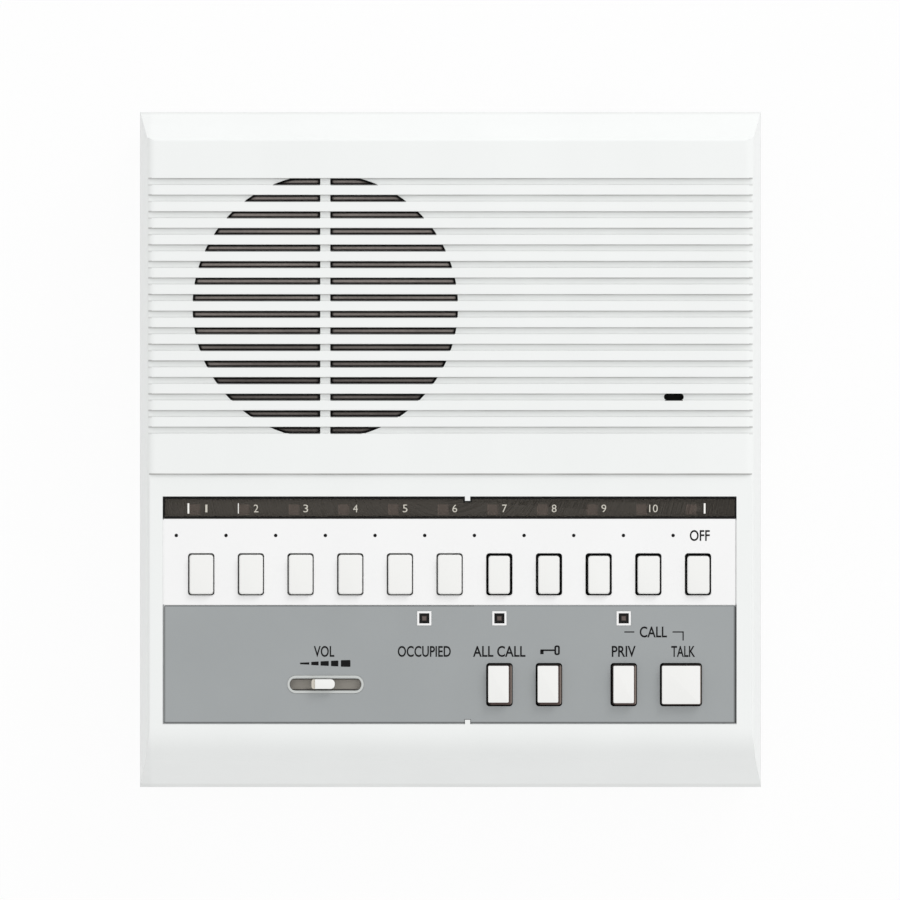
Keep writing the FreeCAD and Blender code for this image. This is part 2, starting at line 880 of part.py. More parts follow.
def station_lamps():
    """Eleven small lamps in their holders, one behind each aperture of the strip."""
    lamps = []
    y = (panel_far_y + strip_near_y) / 2
    tip = strip_floor - fit_gap
    neck = tip - bulb_length
    for index in range(key_count):
        x = lamp_x(index)
        holder = block(x, y, bulb_base, bulb_base, frame_top, neck)
        lens = tapered(x, y, bulb_width, bulb_width, [(neck - bury, 0), (tip - bulb_bevel, 0), (tip, bulb_bevel)])
        lamps.append(joined([holder, lens]))
    return Part.Compound(lamps)


def status_lamps():
    """Three square lenses, each held by a flange under the panel."""
    lamps = []
    for x, y in status_places():
        lens = block(x, y, lamp_lens, lamp_lens, panel_under - bury, panel_top + lamp_proud)
        flange = block(x, y, lamp_lens + 2 * lamp_flange, lamp_lens + 2 * lamp_flange,
                       panel_under - lamp_flange_depth, panel_under)
        lamps.append(joined([lens, flange]))
    return Part.Compound(lamps)


def volume_knob():
    """Slide knob with a low shoulder on its left and a neck through the slot."""
    x = volume_x + knob_rest
    low = panel_top + volume_rim_proud + knob_lift
    top = panel_top + knob_proud
    head = tapered(x, volume_y, knob_length, knob_width, [(low, 0), (top - knob_edge, 0), (top, knob_edge)])
    head = head.common(plate(x, volume_y, knob_length, knob_width, knob_corner, low, top))
    neck = block(x, volume_y, lever_width + 2 * knob_foot, volume_slot_width - 2 * knob_foot,
                 panel_under, low + bury)
    left = x - knob_length / 2
    step = box(left - overrun, left + shoulder_width, volume_y - knob_width, volume_y + knob_width,
               top - shoulder_drop, top + overrun)
    body = joined([head, neck]).cut(step)
    well = block(x, volume_y, lever_width + hole_gap, lever_thickness + hole_gap,
                 panel_under - overrun, top - knob_edge)
    return body.cut(well)


def volume_lever():
    """Lever of the slide control, with the shutter that closes the slot from below."""
    x = volume_x + knob_rest
    pot_top = panel_under - pot_top_drop
    blade = block(x, volume_y, lever_width, lever_thickness, pot_top - lever_dip, panel_top + knob_proud - knob_edge)
    high = panel_under - bar_gap
    shutter = block(x, volume_y, shutter_length, shutter_width, high - shutter_thickness, high)
    return joined([blade, shutter])


def volume_pot():
    """Slide control body on two feet, with the slot that its lever runs in."""
    top = panel_under - pot_top_drop
    low = top - pot_height
    body = block(volume_x, volume_y, pot_length, pot_width, low, top)
    feet = []
    for side in (-1, 1):
        x = volume_x + side * (pot_length - pot_foot) / 2
        feet.append(block(x, volume_y, pot_foot, pot_width, board_top, low + bury))
    slot_length = volume_slot_length - knob_length + lever_width + 2 * bar_gap
    slot = block(volume_x, volume_y, slot_length, lever_thickness + 2 * fit_gap,
                 top - lever_dip - bar_gap, top + overrun)
    return joined([body] + feet).cut(slot)


def main_board():
    """Circuit board under the switches."""
    board = box(-board_half_width, board_half_width, board_near_y, board_far_y, board_under, board_top)
    return board.cut([eight_sided(x, y, screw_radius + hole_gap, board_under - overrun, board_top + overrun)
                      for x, y in board_screw_places()])


def transformer():
    """Small line transformer: laminated core and a bulging winding."""
    transformer_x = case_width * transformer_share
    transformer_y = frame_near_y - transformer_drop
    high = board_top + transformer_height
    core = block(transformer_x, transformer_y, transformer_width, transformer_yoke * 2, board_top, high)
    low = board_top + transformer_yoke / 2
    holes = []
    for side in (-1, 1):
        x = transformer_x + side * transformer_width / 4
        holes.append(block(x, transformer_y, transformer_width / 4, transformer_length,
                           low, high - transformer_yoke / 2))
    core = core.cut(holes)
    winding = plate(transformer_x, transformer_y, transformer_width * 3 / 4 - fit_gap, transformer_length,
                    winding_bulge, low + fit_gap, high - transformer_yoke / 2 - fit_gap)
    return Part.Compound([core, winding.cut(core)])


def chips():
    """Two amplifier packages."""
    bodies = []
    y = (frame_near_y + function_y + switch_length / 2) / 2
    for x in [case_width * share for share in chip_shares]:
        body = block(x, y, chip_length, chip_width, board_top, board_top + chip_height)
        notch = rod(x - chip_length / 2, y, chip_width / 6, board_top + chip_height / 2, board_top + 2 * chip_height)
        bodies.append(body.cut(notch))
    return Part.Compound(bodies)


def capacitors():
    """Electrolytic cans on the main board."""
    cans = []
    for share, drop, radius, height in zip(capacitor_shares, capacitor_drops, capacitor_radii, capacitor_heights):
        cans.append(rod(case_width * share, frame_near_y - drop, radius, board_top, board_top + height))
    return Part.Compound(cans)


def speaker_cloth():
    """Dark cloth behind the slots."""
    return rod(speaker_x, speaker_y, cloth_radius, deck_under - cloth_thickness, deck_under)


def speaker_gasket():
    """Foam gasket between the cloth and the loudspeaker's flange."""
    high = deck_under - cloth_thickness
    inner = flange_inner_radius + cone_rim + fit_gap
    ring = rod(speaker_x, speaker_y, inner + gasket_width, flange_top, high)
    return ring.cut(rod(speaker_x, speaker_y, inner, flange_top - overrun, high + overrun))


def speaker_frame():
    """Pressed basket: square flange with round corners, four windows and a floor for the magnet."""
    slope = (flange_inner_radius - basket_floor_radius) / basket_depth
    lean = basket_wall * math.sqrt(1 + slope * slope)
    hole = coil_radius + coil_gap
    shell = revolved(speaker_x, speaker_y, [
        (flange_inner_radius, flange_top), (flange_inner_radius + lean + bury, flange_top),
        (flange_inner_radius + lean, flange_under), (basket_floor_radius + lean, basket_under), (hole, basket_under),
        (hole, basket_under + basket_wall), (basket_floor_radius, basket_under + basket_wall)])
    flange = plate(speaker_x, speaker_y, speaker_width, speaker_width, speaker_corner, flange_under, flange_top)
    mouth = rod(speaker_x, speaker_y, flange_inner_radius + lean / 2, flange_under - overrun, flange_top + overrun)
    flange = flange.cut(mouth)
    frame = joined([shell, flange])
    low = basket_under + basket_depth * basket_band_share
    high = flange_under - basket_depth * basket_band_share
    window = rod(speaker_x, speaker_y, speaker_width / 2, low, high)
    core = rod(speaker_x, speaker_y, hole, low - overrun, high + overrun)
    spokes = [block(speaker_x, speaker_y, 2 * speaker_width, basket_spoke, low - overrun, high + overrun),
              block(speaker_x, speaker_y, basket_spoke, 2 * speaker_width, low - overrun, high + overrun)]
    holes = [eight_sided(x, y, screw_radius + hole_gap, flange_under - overrun, flange_top + overrun)
             for x, y in speaker_screw_places()]
    return frame.cut([window.cut([core] + spokes)] + holes)


def speaker_cone():
    """Paper cone with its rim, roll, dust dome and coil former in one turned shell."""
    thick = cone_thickness
    rim_outer = flange_inner_radius + cone_rim
    roll_outer = flange_inner_radius - thick
    roll_inner = roll_outer - roll_width
    roll_middle = roll_outer - roll_width / 2
    level = flange_top
    low = flange_top - cone_drop
    crown = low + dust_height
    return revolved(speaker_x, speaker_y, [
        (rim_outer, level), (rim_outer, level + thick), (roll_outer, level + thick),
        (roll_middle, level + thick - roll_height), (roll_inner, level + thick), (dust_radius, low + thick),
        (0, crown), (0, crown - thick), (coil_radius - thick, low), (coil_radius - thick, low - coil_length),
        (coil_radius, low - coil_length), (coil_radius, low - thick),
        (roll_inner, level - thick), (roll_middle, level - thick - roll_height), (roll_outer, level)])


def speaker_magnet():
    """Ferrite ring between the two steel plates."""
    top = basket_under - plate_thickness
    low = top - magnet_height
    return revolved(speaker_x, speaker_y, [(coil_radius + 2 * coil_gap, low), (magnet_radius, low), (magnet_radius, top),
                                           (coil_radius + 2 * coil_gap, top)])


def speaker_yoke():
    """Front plate, back plate and pole piece."""
    front_low = basket_under - plate_thickness
    back_top = front_low - magnet_height
    front = revolved(speaker_x, speaker_y, [(coil_radius + coil_gap, front_low), (plate_radius, front_low),
                                            (plate_radius, basket_under), (coil_radius + coil_gap, basket_under)])
    back = rod(speaker_x, speaker_y, plate_radius, back_top - plate_thickness, back_top)
    pole = rod(speaker_x, speaker_y, pole_radius, back_top - bury, basket_under)
    return Part.Compound([front, joined([back, pole])])


def microphone():
    """Electret capsule."""
    high = deck_under - boot_wall
    return rod(microphone_x, microphone_y, capsule_radius, high - capsule_height, high)


def microphone_boot():
    """Rubber boot round the capsule, open at both ends."""
    x = microphone_x
    y = microphone_y
    low = deck_under - boot_height
    shelf = deck_under - boot_wall
    boot = rod(x, y, capsule_radius + boot_wall, low, deck_under)
    bore = rod(x, y, capsule_radius + hole_gap / 2, low - overrun, shelf)
    mouth = rod(x, y, capsule_radius - boot_wall / 2, shelf - overrun, deck_under + overrun)
    return boot.cut([bore, mouth])


def rear_case():
    """Tapered tray with its tongue, posts, stands, ribs, vents, wall holes and terminal bay."""
    low_inset = rear_inset + rear_taper
    levels = [(foot_height, low_inset + rear_chamfer), (foot_height + rear_chamfer, low_inset), (rim_z, rear_inset)]
    outer = tapered(0, 0, case_width, case_length, levels)
    inner_levels = [(floor_top, low_inset + rear_wall), (rim_z, rear_inset + rear_wall),
                    (rim_z + overrun, rear_inset + rear_wall)]
    shell = outer.cut(tapered(0, 0, case_width, case_length, inner_levels))
    gap = cover_wall + tongue_gap
    ring = hood(gap, rim_z - bury).cut(hood(gap + tongue_thickness, rim_z - overrun))
    tongue = ring.common(block(0, 0, 2 * case_width, 2 * case_length, rim_z - overrun, rim_z + tongue_height))
    added = [tongue]
    base = foot_height + bury
    for x, y in case_screw_places():
        added.append(eight_sided(x, y, post_radius, base, floor_top + post_height))
    for x, y in board_screw_places():
        added.append(block(x, y, stand_width, stand_width, base, board_under))
    for x, y in terminal_screw_places():
        added.append(block(x, y, stand_width, stand_width, base, floor_top + bay_height))
    half_x = case_width / 2 - low_inset - rear_wall / 2
    half_y = case_length / 2 - low_inset - rear_wall / 2
    for y in (0, vent_far_y + rib_margin):
        added.append(block(0, y, 2 * half_x, rib_thickness, base, floor_top + rib_height))
    added.append(block(case_width * rib_share, 0, rib_thickness, 2 * half_y, base, floor_top + rib_height))
    added.append(block(bay_x, bay_y, bay_width + 2 * bay_skirt, bay_length + 2 * bay_skirt,
                       base, floor_top + bay_height - bar_gap))
    return joined([shell] + added).cut(rear_openings())


def rear_openings():
    """Screw recesses, stand bores, vents, wall holes, the terminal bay and the cable way."""
    tools = []
    low = foot_height - overrun
    for x, y in case_screw_places():
        tools.append(rod(x, y, case_head_radius + fit_gap, low, foot_height + case_head_recess))
        tools.append(eight_sided(x, y, screw_radius + hole_gap, low, floor_top + post_height + overrun))
    for x, y in board_screw_places():
        deep = board_top - board_screw_length - overrun
        tools.append(eight_sided(x, y, screw_radius + hole_gap, deep, board_under + overrun))
    for x, y in terminal_screw_places():
        high = floor_top + bay_height
        deep = high + board_thickness - board_screw_length - overrun
        tools.append(eight_sided(x, y, screw_radius + hole_gap, deep, high + overrun))
    for side in (-1, 1):
        for index in range(vent_count):
            x = side * (vent_first_x + index * vent_pitch)
            tools.append(block(x, vent_far_y - vent_length / 2, vent_width, vent_length, low, floor_top + overrun))
        for way in (-1, 1):
            tools.append(rod(side * wall_hole_span_x / 2, way * wall_hole_span_y / 2, wall_hole_radius,
                             low, floor_top + overrun))
    tools.append(block(bay_x, bay_y, bay_width, bay_length, low, floor_top + bay_height + overrun))
    tools.append(box(bay_x - cable_width / 2, bay_x + cable_width / 2, bay_y, case_length / 2 + overrun,
                     low, foot_height + cable_height))
    return tools


def terminal_board():
    """Board that closes the inner end of the terminal bay."""
    low = floor_top + bay_height
    board = block(bay_x, bay_y, bay_width + 2 * terminal_board_margin, bay_length + 2 * terminal_board_margin,
                  low, low + board_thickness)
    return board.cut([eight_sided(x, y, screw_radius + hole_gap, low - overrun, low + board_thickness + overrun)
                      for x, y in terminal_screw_places()])


def terminal_places():
    """Screw places in the two rows of terminals."""
    first = bay_x - (terminal_count - 1) * terminal_pitch / 2
    return [(first + i * terminal_pitch, bay_y + row * terminal_row_span / 2)
            for row in (-1, 1) for i in range(terminal_count)]


def terminal_blocks():
    """Two rows of screw terminals, with a wire mouth and a screw well at each place."""
    high = floor_top + bay_height
    low = high - terminal_height
    length = terminal_count * terminal_pitch
    well = 2 * terminal_screw_radius + 2 * hole_gap
    blocks = [block(bay_x, bay_y + row * terminal_row_span / 2, length, terminal_width, low, high) for row in (-1, 1)]
    tools = []
    for x, y in terminal_places():
        way = 1 if y < bay_y else -1
        tools.append(block(x, y, well, well, low - overrun, low + terminal_height / 2))
        tools.append(block(x, y + way * terminal_width / 2, terminal_pitch / 2, terminal_width / 2,
                           low + terminal_height / 4, low + terminal_height * 3 / 5))
    return Part.Compound([shape.cut(tools) for shape in blocks])


def terminal_screws():
    """Clamp screws of the terminals."""
    screws = []
    high = floor_top + bay_height - terminal_height / 2
    low = high - terminal_height / 3
    for x, y in terminal_places():
        screws.append(eight_sided(x, y, terminal_screw_radius, low, high))
    return Part.Compound(screws)


def screw(x, y, seat, head, length, way):
    """Screw on its seat: way is +1 where the head is above the seat, -1 where it is below."""
    tip = seat - way * length
    neck = seat + way * bury
    shank = eight_sided(x, y, screw_radius, min(tip, neck), max(tip, neck))
    return joined([head, shank])


def case_screws():
    """Four long screws from the back, with cross recesses in their round heads."""
    seat = foot_height + case_head_recess
    face = seat - case_head_height
    screws = []
    for x, y in case_screw_places():
        head = rod(x, y, case_head_radius, face, seat)
        recess = [block(x, y, cross_width, case_head_radius, face - overrun, face + cross_depth),
                  block(x, y, case_head_radius, cross_width, face - overrun, face + cross_depth)]
        screws.append(screw(x, y, seat, head.cut(recess), case_screw_length, -1))
    return Part.Compound(screws)


def small_screws():
    """Screws of the main board, the terminal board and the loudspeaker."""
    bay_seat = floor_top + bay_height + board_thickness
    grip = deck_under - flange_under - fit_gap
    seats = [(x, y, board_top, 1, board_screw_length) for x, y in board_screw_places()]
    seats += [(x, y, bay_seat, 1, board_screw_length) for x, y in terminal_screw_places()]
    seats += [(x, y, flange_under, -1, grip) for x, y in speaker_screw_places()]
    screws = []
    for x, y, seat, way, length in seats:
        face = seat + way * screw_head_height
        head = eight_sided(x, y, screw_head_radius, min(seat, face), max(seat, face))
        screws.append(screw(x, y, seat, head, length, way))
    return Part.Compound(screws)


def rubber_feet():
    """Four chamfered feet on the back wall."""
    profile = [(0, 0), (foot_radius - foot_chamfer, 0), (foot_radius, foot_chamfer),
               (foot_radius, foot_height), (0, foot_height)]
    x = case_width / 2 - foot_side
    y = case_length / 2 - foot_margin
    return Part.Compound([revolved(i * x, j * y, profile) for i in (-1, 1) for j in (-1, 1)])


def build():
    """Every node by name."""
    nodes = {
        "front_cover": front_cover(),
        "rear_case": rear_case(),
        "control_panel": control_panel(),
        "overlay_sheet": overlay_sheet(),
        "name_window": name_window(),
        "name_card": name_card(),
        "station_lamps": station_lamps(),
        "status_lamps": status_lamps(),
        "volume_knob": volume_knob(),
        "volume_lever": volume_lever(),
        "volume_pot": volume_pot(),
        "interlock_bar": interlock_bar(),
        "selector_switches": selector_switches(),
        "function_switches": function_switches(),
        "switch_frame": switch_frame(),
        "main_board": main_board(),
        "transformer": transformer(),
        "chips": chips(),
        "capacitors": capacitors(),
        "speaker_cloth": speaker_cloth(),
        "speaker_gasket": speaker_gasket(),
        "speaker_frame": speaker_frame(),
        "speaker_cone": speaker_cone(),
        "speaker_magnet": speaker_magnet(),
        "speaker_yoke": speaker_yoke(),
        "microphone": microphone(),
        "microphone_boot": microphone_boot(),
        "terminal_board": terminal_board(),
        "terminal_blocks": terminal_blocks(),
        "terminal_screws": terminal_screws(),
        "case_screws": case_screws(),
        "small_screws": small_screws(),
        "rubber_feet": rubber_feet(),
    }
    for index in range(key_count):
        last = index == key_count - 1
        nodes["off_key" if last else f"station_key_{index + 1}"] = station_cap(index)
        nodes["off_stem" if last else f"station_stem_{index + 1}"] = station_stem(index)
    for name, x, width in function_keys():
        nodes[name] = function_key(x, width)
    return nodes


os.makedirs("parts", exist_ok=True)
for name, shape in build().items():
    shape.exportStep(f"parts/{name}.step")
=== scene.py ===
"""Dresses the desk intercom: finishes, rounded keys, slider knob, printed words, lamps, floor and camera.

Lengths are metres in the intercom's own frame: it lies on its back, +Z points out of its face and
+Y to the far edge with the loudspeaker.
"""
import json
import math

import bpy
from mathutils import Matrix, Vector

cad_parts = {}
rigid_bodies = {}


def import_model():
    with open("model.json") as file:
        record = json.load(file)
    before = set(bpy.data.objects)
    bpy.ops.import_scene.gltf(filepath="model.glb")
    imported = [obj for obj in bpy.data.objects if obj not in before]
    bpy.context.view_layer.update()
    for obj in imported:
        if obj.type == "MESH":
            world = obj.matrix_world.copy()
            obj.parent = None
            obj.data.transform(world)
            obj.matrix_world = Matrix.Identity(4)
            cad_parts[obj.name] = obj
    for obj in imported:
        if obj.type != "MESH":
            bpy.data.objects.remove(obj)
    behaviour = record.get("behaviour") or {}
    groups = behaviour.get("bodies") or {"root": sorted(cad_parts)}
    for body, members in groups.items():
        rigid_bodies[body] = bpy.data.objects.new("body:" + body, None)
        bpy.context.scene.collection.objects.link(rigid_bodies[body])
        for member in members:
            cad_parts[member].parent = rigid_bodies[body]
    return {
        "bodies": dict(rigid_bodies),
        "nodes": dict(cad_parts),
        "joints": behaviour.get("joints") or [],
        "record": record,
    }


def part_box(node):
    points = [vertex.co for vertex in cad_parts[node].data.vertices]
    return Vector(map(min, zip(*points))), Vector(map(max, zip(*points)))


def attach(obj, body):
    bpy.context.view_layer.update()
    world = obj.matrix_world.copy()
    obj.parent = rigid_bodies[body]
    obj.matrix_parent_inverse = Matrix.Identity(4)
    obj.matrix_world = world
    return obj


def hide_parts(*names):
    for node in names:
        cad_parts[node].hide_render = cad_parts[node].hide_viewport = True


bl_info = {
    "name": "Desk intercom",
    "version": (1, 0, 0),
    "blender": (4, 5, 0),
    "location": "View3D > Sidebar > Intercom",
    "description": "Finishes, keys, printed words and stage of a desk intercom",
    "category": "Object",
}

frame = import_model()
MM = 0.001
FIRST_GROOVE = 43.6 * MM
GROOVE_PITCH = 5.624 * MM
SEAM_FROM_PANEL = 7.94 * MM
PANEL_GAP = 0.4 * MM
TAB_X = 5.8 * MM
PANEL_THICKNESS = 2 * MM
LAMP_DROP = 0.5 * MM
LAMP_FROM_KEY = 2.2 * MM
STRIP_DEPTH = 7.21 * MM
KEY_HOLE_MARGIN = 0.5 * MM
VOLUME_RIM_RISE = 0.2 * MM
STATUS_LAMP_HALF = 2.35 * MM
PLAY = 0.01 * MM
SHARP_ANGLE = math.radians(35)
BLACK = (0.01, 0.01, 0.01)
KEY_COUNT = 11
SLOT_FIELD = 44.9 * MM
WORD_ROW = 11.27 * MM
BRACKET_ROW = 6.6 * MM
SENSOR_WIDTH = 36
FUNCTION_KEYS = ("all_call", "door", "privacy", "talk")


def centre_of(node):
    """Middle of a CAD node's box."""
    low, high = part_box(node)
    return (low + high) / 2


def speaker():
    """Middle of the loudspeaker."""
    return centre_of("speaker_cloth")


def volume_place():
    """Middle of the volume slot."""
    return centre_of("volume_pot")


def face_level():
    """Height of the control panel's face."""
    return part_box("overlay_sheet")[1].z


def key_node(index):
    """Name of a station key, counted from the left; the off key is the last."""
    return "off_key" if index == KEY_COUNT else f"station_key_{index}"


def key_pitch():
    """From one station key to the next."""
    return (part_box("station_key_2")[0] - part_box("station_key_1")[0]).x


def first_loose():
    """Where the looser keys begin: halfway between keys 6 and 7."""
    return (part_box("station_key_6")[1].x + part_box("station_key_7")[0].x) / 2


def paint(red, green, blue):
    """A colour as it looks on screen, from 0 to 255, turned into the linear values that shaders use."""
    shares = [value / 255 for value in (red, green, blue)]
    return tuple(share / 12.92 if share < 0.04045 else ((share + 0.055) / 1.055) ** 2.4 for share in shares)


def colour_setting(name, description, red, green, blue):
    """A colour that the panel shows."""
    return bpy.props.FloatVectorProperty(name=name, description=description, subtype="COLOR", size=3, min=0, max=1,
                                         default=paint(red, green, blue))


def length_setting(name, description, millimetres):
    """A length that the panel shows."""
    return bpy.props.FloatProperty(name=name, description=description, unit="LENGTH", min=0, precision=5,
                                   default=millimetres * MM)


def share_setting(name, description, default):
    """A share from 0 to 1 that the panel shows."""
    return bpy.props.FloatProperty(name=name, description=description, subtype="FACTOR", min=0, max=1,
                                   default=default)


class CaseSettings(bpy.types.PropertyGroup):
    """Colours and grain of the two case halves."""
    cover_colour: colour_setting("Cover", "Front cover with the ribbed deck", 243, 245, 244)
    rear_colour: colour_setting("Rear case", "Tray under the cover", 226, 227, 224)
    # painted shade: cover_finish lays this colour along the grooves, the seam, the lower rim and the left wall
    grime_colour: colour_setting("Grime", "Dust that settles in the grooves", 150, 148, 144)
    grain_size: length_setting("Grain size", "Width of the moulded grain", 0.35)
    grain_height: length_setting("Grain height", "Height of the moulded grain", 0.012)
    # how strong that painted shade is
    grime: share_setting("Grime amount", "How much dust the corners hold", 0.55)
    edge_softness: length_setting("Edge softness", "Rounding of the moulded edges", 0.2)


class PanelSettings(bpy.types.PropertyGroup):
    """Colours of the control panel and of what is printed on it."""
    white_colour: colour_setting("White plate", "Panel round the station keys", 248, 248, 248)
    sheet_colour: colour_setting("Grey sheet", "Sheet round the function keys", 158, 162, 163)
    window_colour: colour_setting("Window", "Smoked strip over the name card", 77, 73, 67)
    card_colour: colour_setting("Card", "Name card under the window", 108, 103, 97)
    shutter_colour: colour_setting("Shutter", "Sliding strip under the volume slot", 172, 167, 158)
    ink_colour: colour_setting("Ink", "Dark print", 13, 13, 14)
    number_colour: colour_setting("Numbers", "Pale print on the smoked strip", 205, 201, 190)
    window_alpha: share_setting("Window tint", "How much the smoked strip hides", 0.4)
    # painted shade: grey of the gaps left of and below the grey sheet
    seal_colour: colour_setting("Grey seal", "Seal left of and below the grey sheet", 176, 178, 178)
    rim_colour: colour_setting("Slot rim", "Raised rim round the volume slot", 201, 204, 202)


class KeySettings(bpy.types.PropertyGroup):
    """Shape and colour of the key caps and the knob."""
    cap_colour: colour_setting("Caps", "Station and function key caps", 244, 244, 242)
    corner_radius: length_setting("Corner radius", "Upright corners of a cap", 0.95)
    edge_radius: length_setting("Edge radius", "Rounding round the head of a cap", 0.35)
    head_taper: length_setting("Head taper", "How much the head is narrower on each side", 0.2)
    plunger_colour: colour_setting("Plungers", "Brown plungers that carry the function heads", 84, 70, 66)
    plunger_side: length_setting("Plunger side", "How far a plunger reaches past its head's right side", 0.22)
    shelf_rise: length_setting("Shelf rise", "Height of that shelf over the panel", 0.5)
    head_corner: length_setting("Head corner", "Upright corners of a function key's head", 0.4)
    head_edge: length_setting("Head edge", "Rounding round the top of a function key's head", 0.2)
    cap_wall: length_setting("Wall", "Wall of the hollow cap", 1.0)
    cap_roof: length_setting("Roof", "Thickness of a cap's head", 1.2)
    knob_nose: length_setting("Knob nose", "Corner radius at the right end of the slider knob", 1.45)
    knob_near: length_setting("Knob near side", "How far the slider knob is set in on its near side", 0.56)
    knob_far: length_setting("Knob far side", "The same on its far side", 0.33)
    knob_right: length_setting("Knob right side", "The same on its right", 0.4)
    knob_shoulder: length_setting("Knob shoulder", "Low step at the left of the slider knob", 1.15)
    knob_step: length_setting("Knob step", "Height of the knob's head over its shoulder", 0.6)


class PrintSettings(bpy.types.PropertyGroup):
    """Sizes of the printed words and marks."""
    word_height: length_setting("Word height", "Capital letters on the panel", 3.75)
    number_height: length_setting("Number height", "Numbers on the smoked strip", 2.6)
    dot_radius: length_setting("Dot radius", "Dot left of each station key", 0.6)
    line_width: length_setting("Line width", "Bracket and key mark lines", 0.4)
    ink_height: length_setting("Ink height", "How far the print stands up", 0.02)


class StageSettings(bpy.types.PropertyGroup):
    """Camera, lamps and floor."""
    camera_height: length_setting("Camera height", "Height of the lens over the face", 8000)
    view_width: length_setting("View width", "Width of the picture at the face", 305.4)
    view_shift: length_setting("View shift", "How far the picture's middle lies left and near of the middle", 0.17)
    sky: share_setting("Sky", "Even light from all round", 0.85)
    softbox_power: bpy.props.FloatProperty(name="Softbox", description="Power of the softbox at the upper right",
                                           unit="POWER", min=0, default=8.9)
    floor_colour: colour_setting("Floor", "Pale floor", 242, 242, 242)
    floor_glow: share_setting("Floor glow", "How much of the floor the camera sees as plain white", 0.93)


SETTINGS = {
    "intercom_case": CaseSettings,
    "intercom_panel": PanelSettings,
    "intercom_keys": KeySettings,
    "intercom_print": PrintSettings,
    "intercom_stage": StageSettings,
}


class Value:
    """One output of a shader node; sums and products of values add the Math nodes that they need."""

    def __init__(self, finish, socket):
        self.finish = finish
        self.socket = socket

    def math(self, operation, *others):
        """A Math node with this value first."""
        return self.finish.node("ShaderNodeMath", {"operation": operation}, dict(enumerate((self, *others))))

    def __add__(self, other):
        return self.math("ADD", other)

    def __sub__(self, other):
        return self.math("SUBTRACT", other)

    def __mul__(self, other):
        return self.math("MULTIPLY", other)

    def __lt__(self, other):
        return self.math("LESS_THAN", other)

    def __gt__(self, other):
        return self.math("GREATER_THAN", other)

    def __rsub__(self, other):
        return self * -1 + other

    __radd__ = __add__
    __rmul__ = __mul__

    def size(self):
        """The value without its sign."""
        return self.math("ABSOLUTE")

    def least(self, other):
        """The smaller of two values."""
        return self.math("MINIMUM", other)

    def most(self, other):
        """The larger of two values."""
        return self.math("MAXIMUM", other)

    def repeat(self, step):
        """The distance from the last multiple of step."""
        return self.math("FLOORED_MODULO", step)

    def wave(self, pitch):
        """Up and down between -1 and 1, once every pitch."""
        return (self * (2 * math.pi / pitch)).math("SINE")

    def ramp(self, low, high):
        """0 up to low, 1 from high on, and smooth between; it falls where high is below low."""
        start, end = (low, high) if low < high else (high, low)
        rise = self.finish.node("ShaderNodeMapRange", {"interpolation_type": "SMOOTHSTEP"},
                                {"Value": self, "From Min": start, "From Max": end})
        return rise if low < high else 1 - rise


class Tree:
    """A shader tree in the making."""

    def __init__(self, owner):
        owner.use_nodes = True
        self.tree = owner.node_tree

    def node(self, kind, settings=None, inputs=None, output=0):
        """Any other node: its settings first, then the values or links of its sockets."""
        made = self.tree.nodes.new(kind)
        for name, value in (settings or {}).items():
            setattr(made, name, value)
        for name, value in (inputs or {}).items():
            self.feed(made.inputs[name], value)
        return Value(self, made.outputs[output])

    def feed(self, socket, value):
        """A link from a value, or a constant."""
        if isinstance(value, Value):
            self.tree.links.new(value.socket, socket)
        else:
            socket.default_value = value

    def seen(self):
        """1 on rays from the camera, also after the window and in reflections."""
        rays = [self.node("ShaderNodeLightPath", output=f"Is {kind} Ray")
                for kind in ("Camera", "Glossy", "Transmission")]
        return rays[0].most(rays[1]).most(rays[2])


class Finish(Tree):
    """A material in the making, around one Principled shader. Its vector and place (x, y and z) say where a
    point is on the intercom."""

    def __init__(self, name, **sockets):
        self.material = bpy.data.materials.new(name)
        super().__init__(self.material)
        self.shader = self.tree.nodes["Principled BSDF"]
        for socket, value in sockets.items():
            self.shader.inputs[socket.replace("_", " ")].default_value = value
        self.vector = self.node("ShaderNodeTexCoord", output="Object")
        self.place = [self.node("ShaderNodeSeparateXYZ", inputs={0: self.vector}, output=axis)
                      for axis in range(3)]

    def set(self, name, value):
        """What one socket of the shader reads."""
        self.feed(self.shader.inputs[name], value)

    def look(self, colour, rough=None, height=None, depth=0):
        """Sets the colour, and where given the roughness and bumps of that depth; gives the finish back."""
        self.set("Base Color", colour)
        if rough:
            self.set("Roughness", rough)
        if height:
            self.relief(height, depth)
        return self

    def stretched(self, x, y, z):
        """The vector, scaled along each axis."""
        return self.node("ShaderNodeVectorMath", {"operation": "MULTIPLY"}, {0: self.vector, 1: (x, y, z)})

    def noise(self, width, detail=2.0, stretch=None):
        """Soft noise whose blotches are about width across, longer where stretch is under 1."""
        vector = self.stretched(*stretch) if stretch else self.vector
        return self.node("ShaderNodeTexNoise", inputs={"Vector": vector, "Scale": 1 / width, "Detail": detail})

    def cells(self, width):
        """Distance to scattered points about width apart."""
        return self.node("ShaderNodeTexVoronoi", inputs={"Vector": self.vector, "Scale": 1 / width},
                         output="Distance")

    def from_axis(self, place):
        """Distance from an upright line through a place."""
        return self.node("ShaderNodeVectorMath", {"operation": "DISTANCE"},
                         {0: self.stretched(1, 1, 0), 1: (place.x, place.y, 0)}, "Value")

    def mix(self, share, first, second):
        """A colour between two colours."""
        first, second = [colour if isinstance(colour, Value) else (*colour, 1) for colour in (first, second)]
        return self.node("ShaderNodeMix", {"data_type": "RGBA"}, {0: share, 6: first, 7: second}, 2)

    def relief(self, height, depth, rounding=0):
        """Bumps of that depth, in metres, over edges that are softened by rounding."""
        inputs = {"Height": height, "Distance": depth}
        if rounding:
            inputs["Normal"] = self.node("ShaderNodeBevel", {"samples": 4}, {"Radius": rounding})
        self.set("Normal", self.node("ShaderNodeBump", inputs=inputs))


def darker(colour, share):
    """A colour with a share of its light left."""
    return tuple(part * share for part in colour)


def shaded(finish, cloud, colour, low, high):
    """A colour that wanders between two shares of its light."""
    return finish.mix(cloud, darker(colour, low), darker(colour, high))


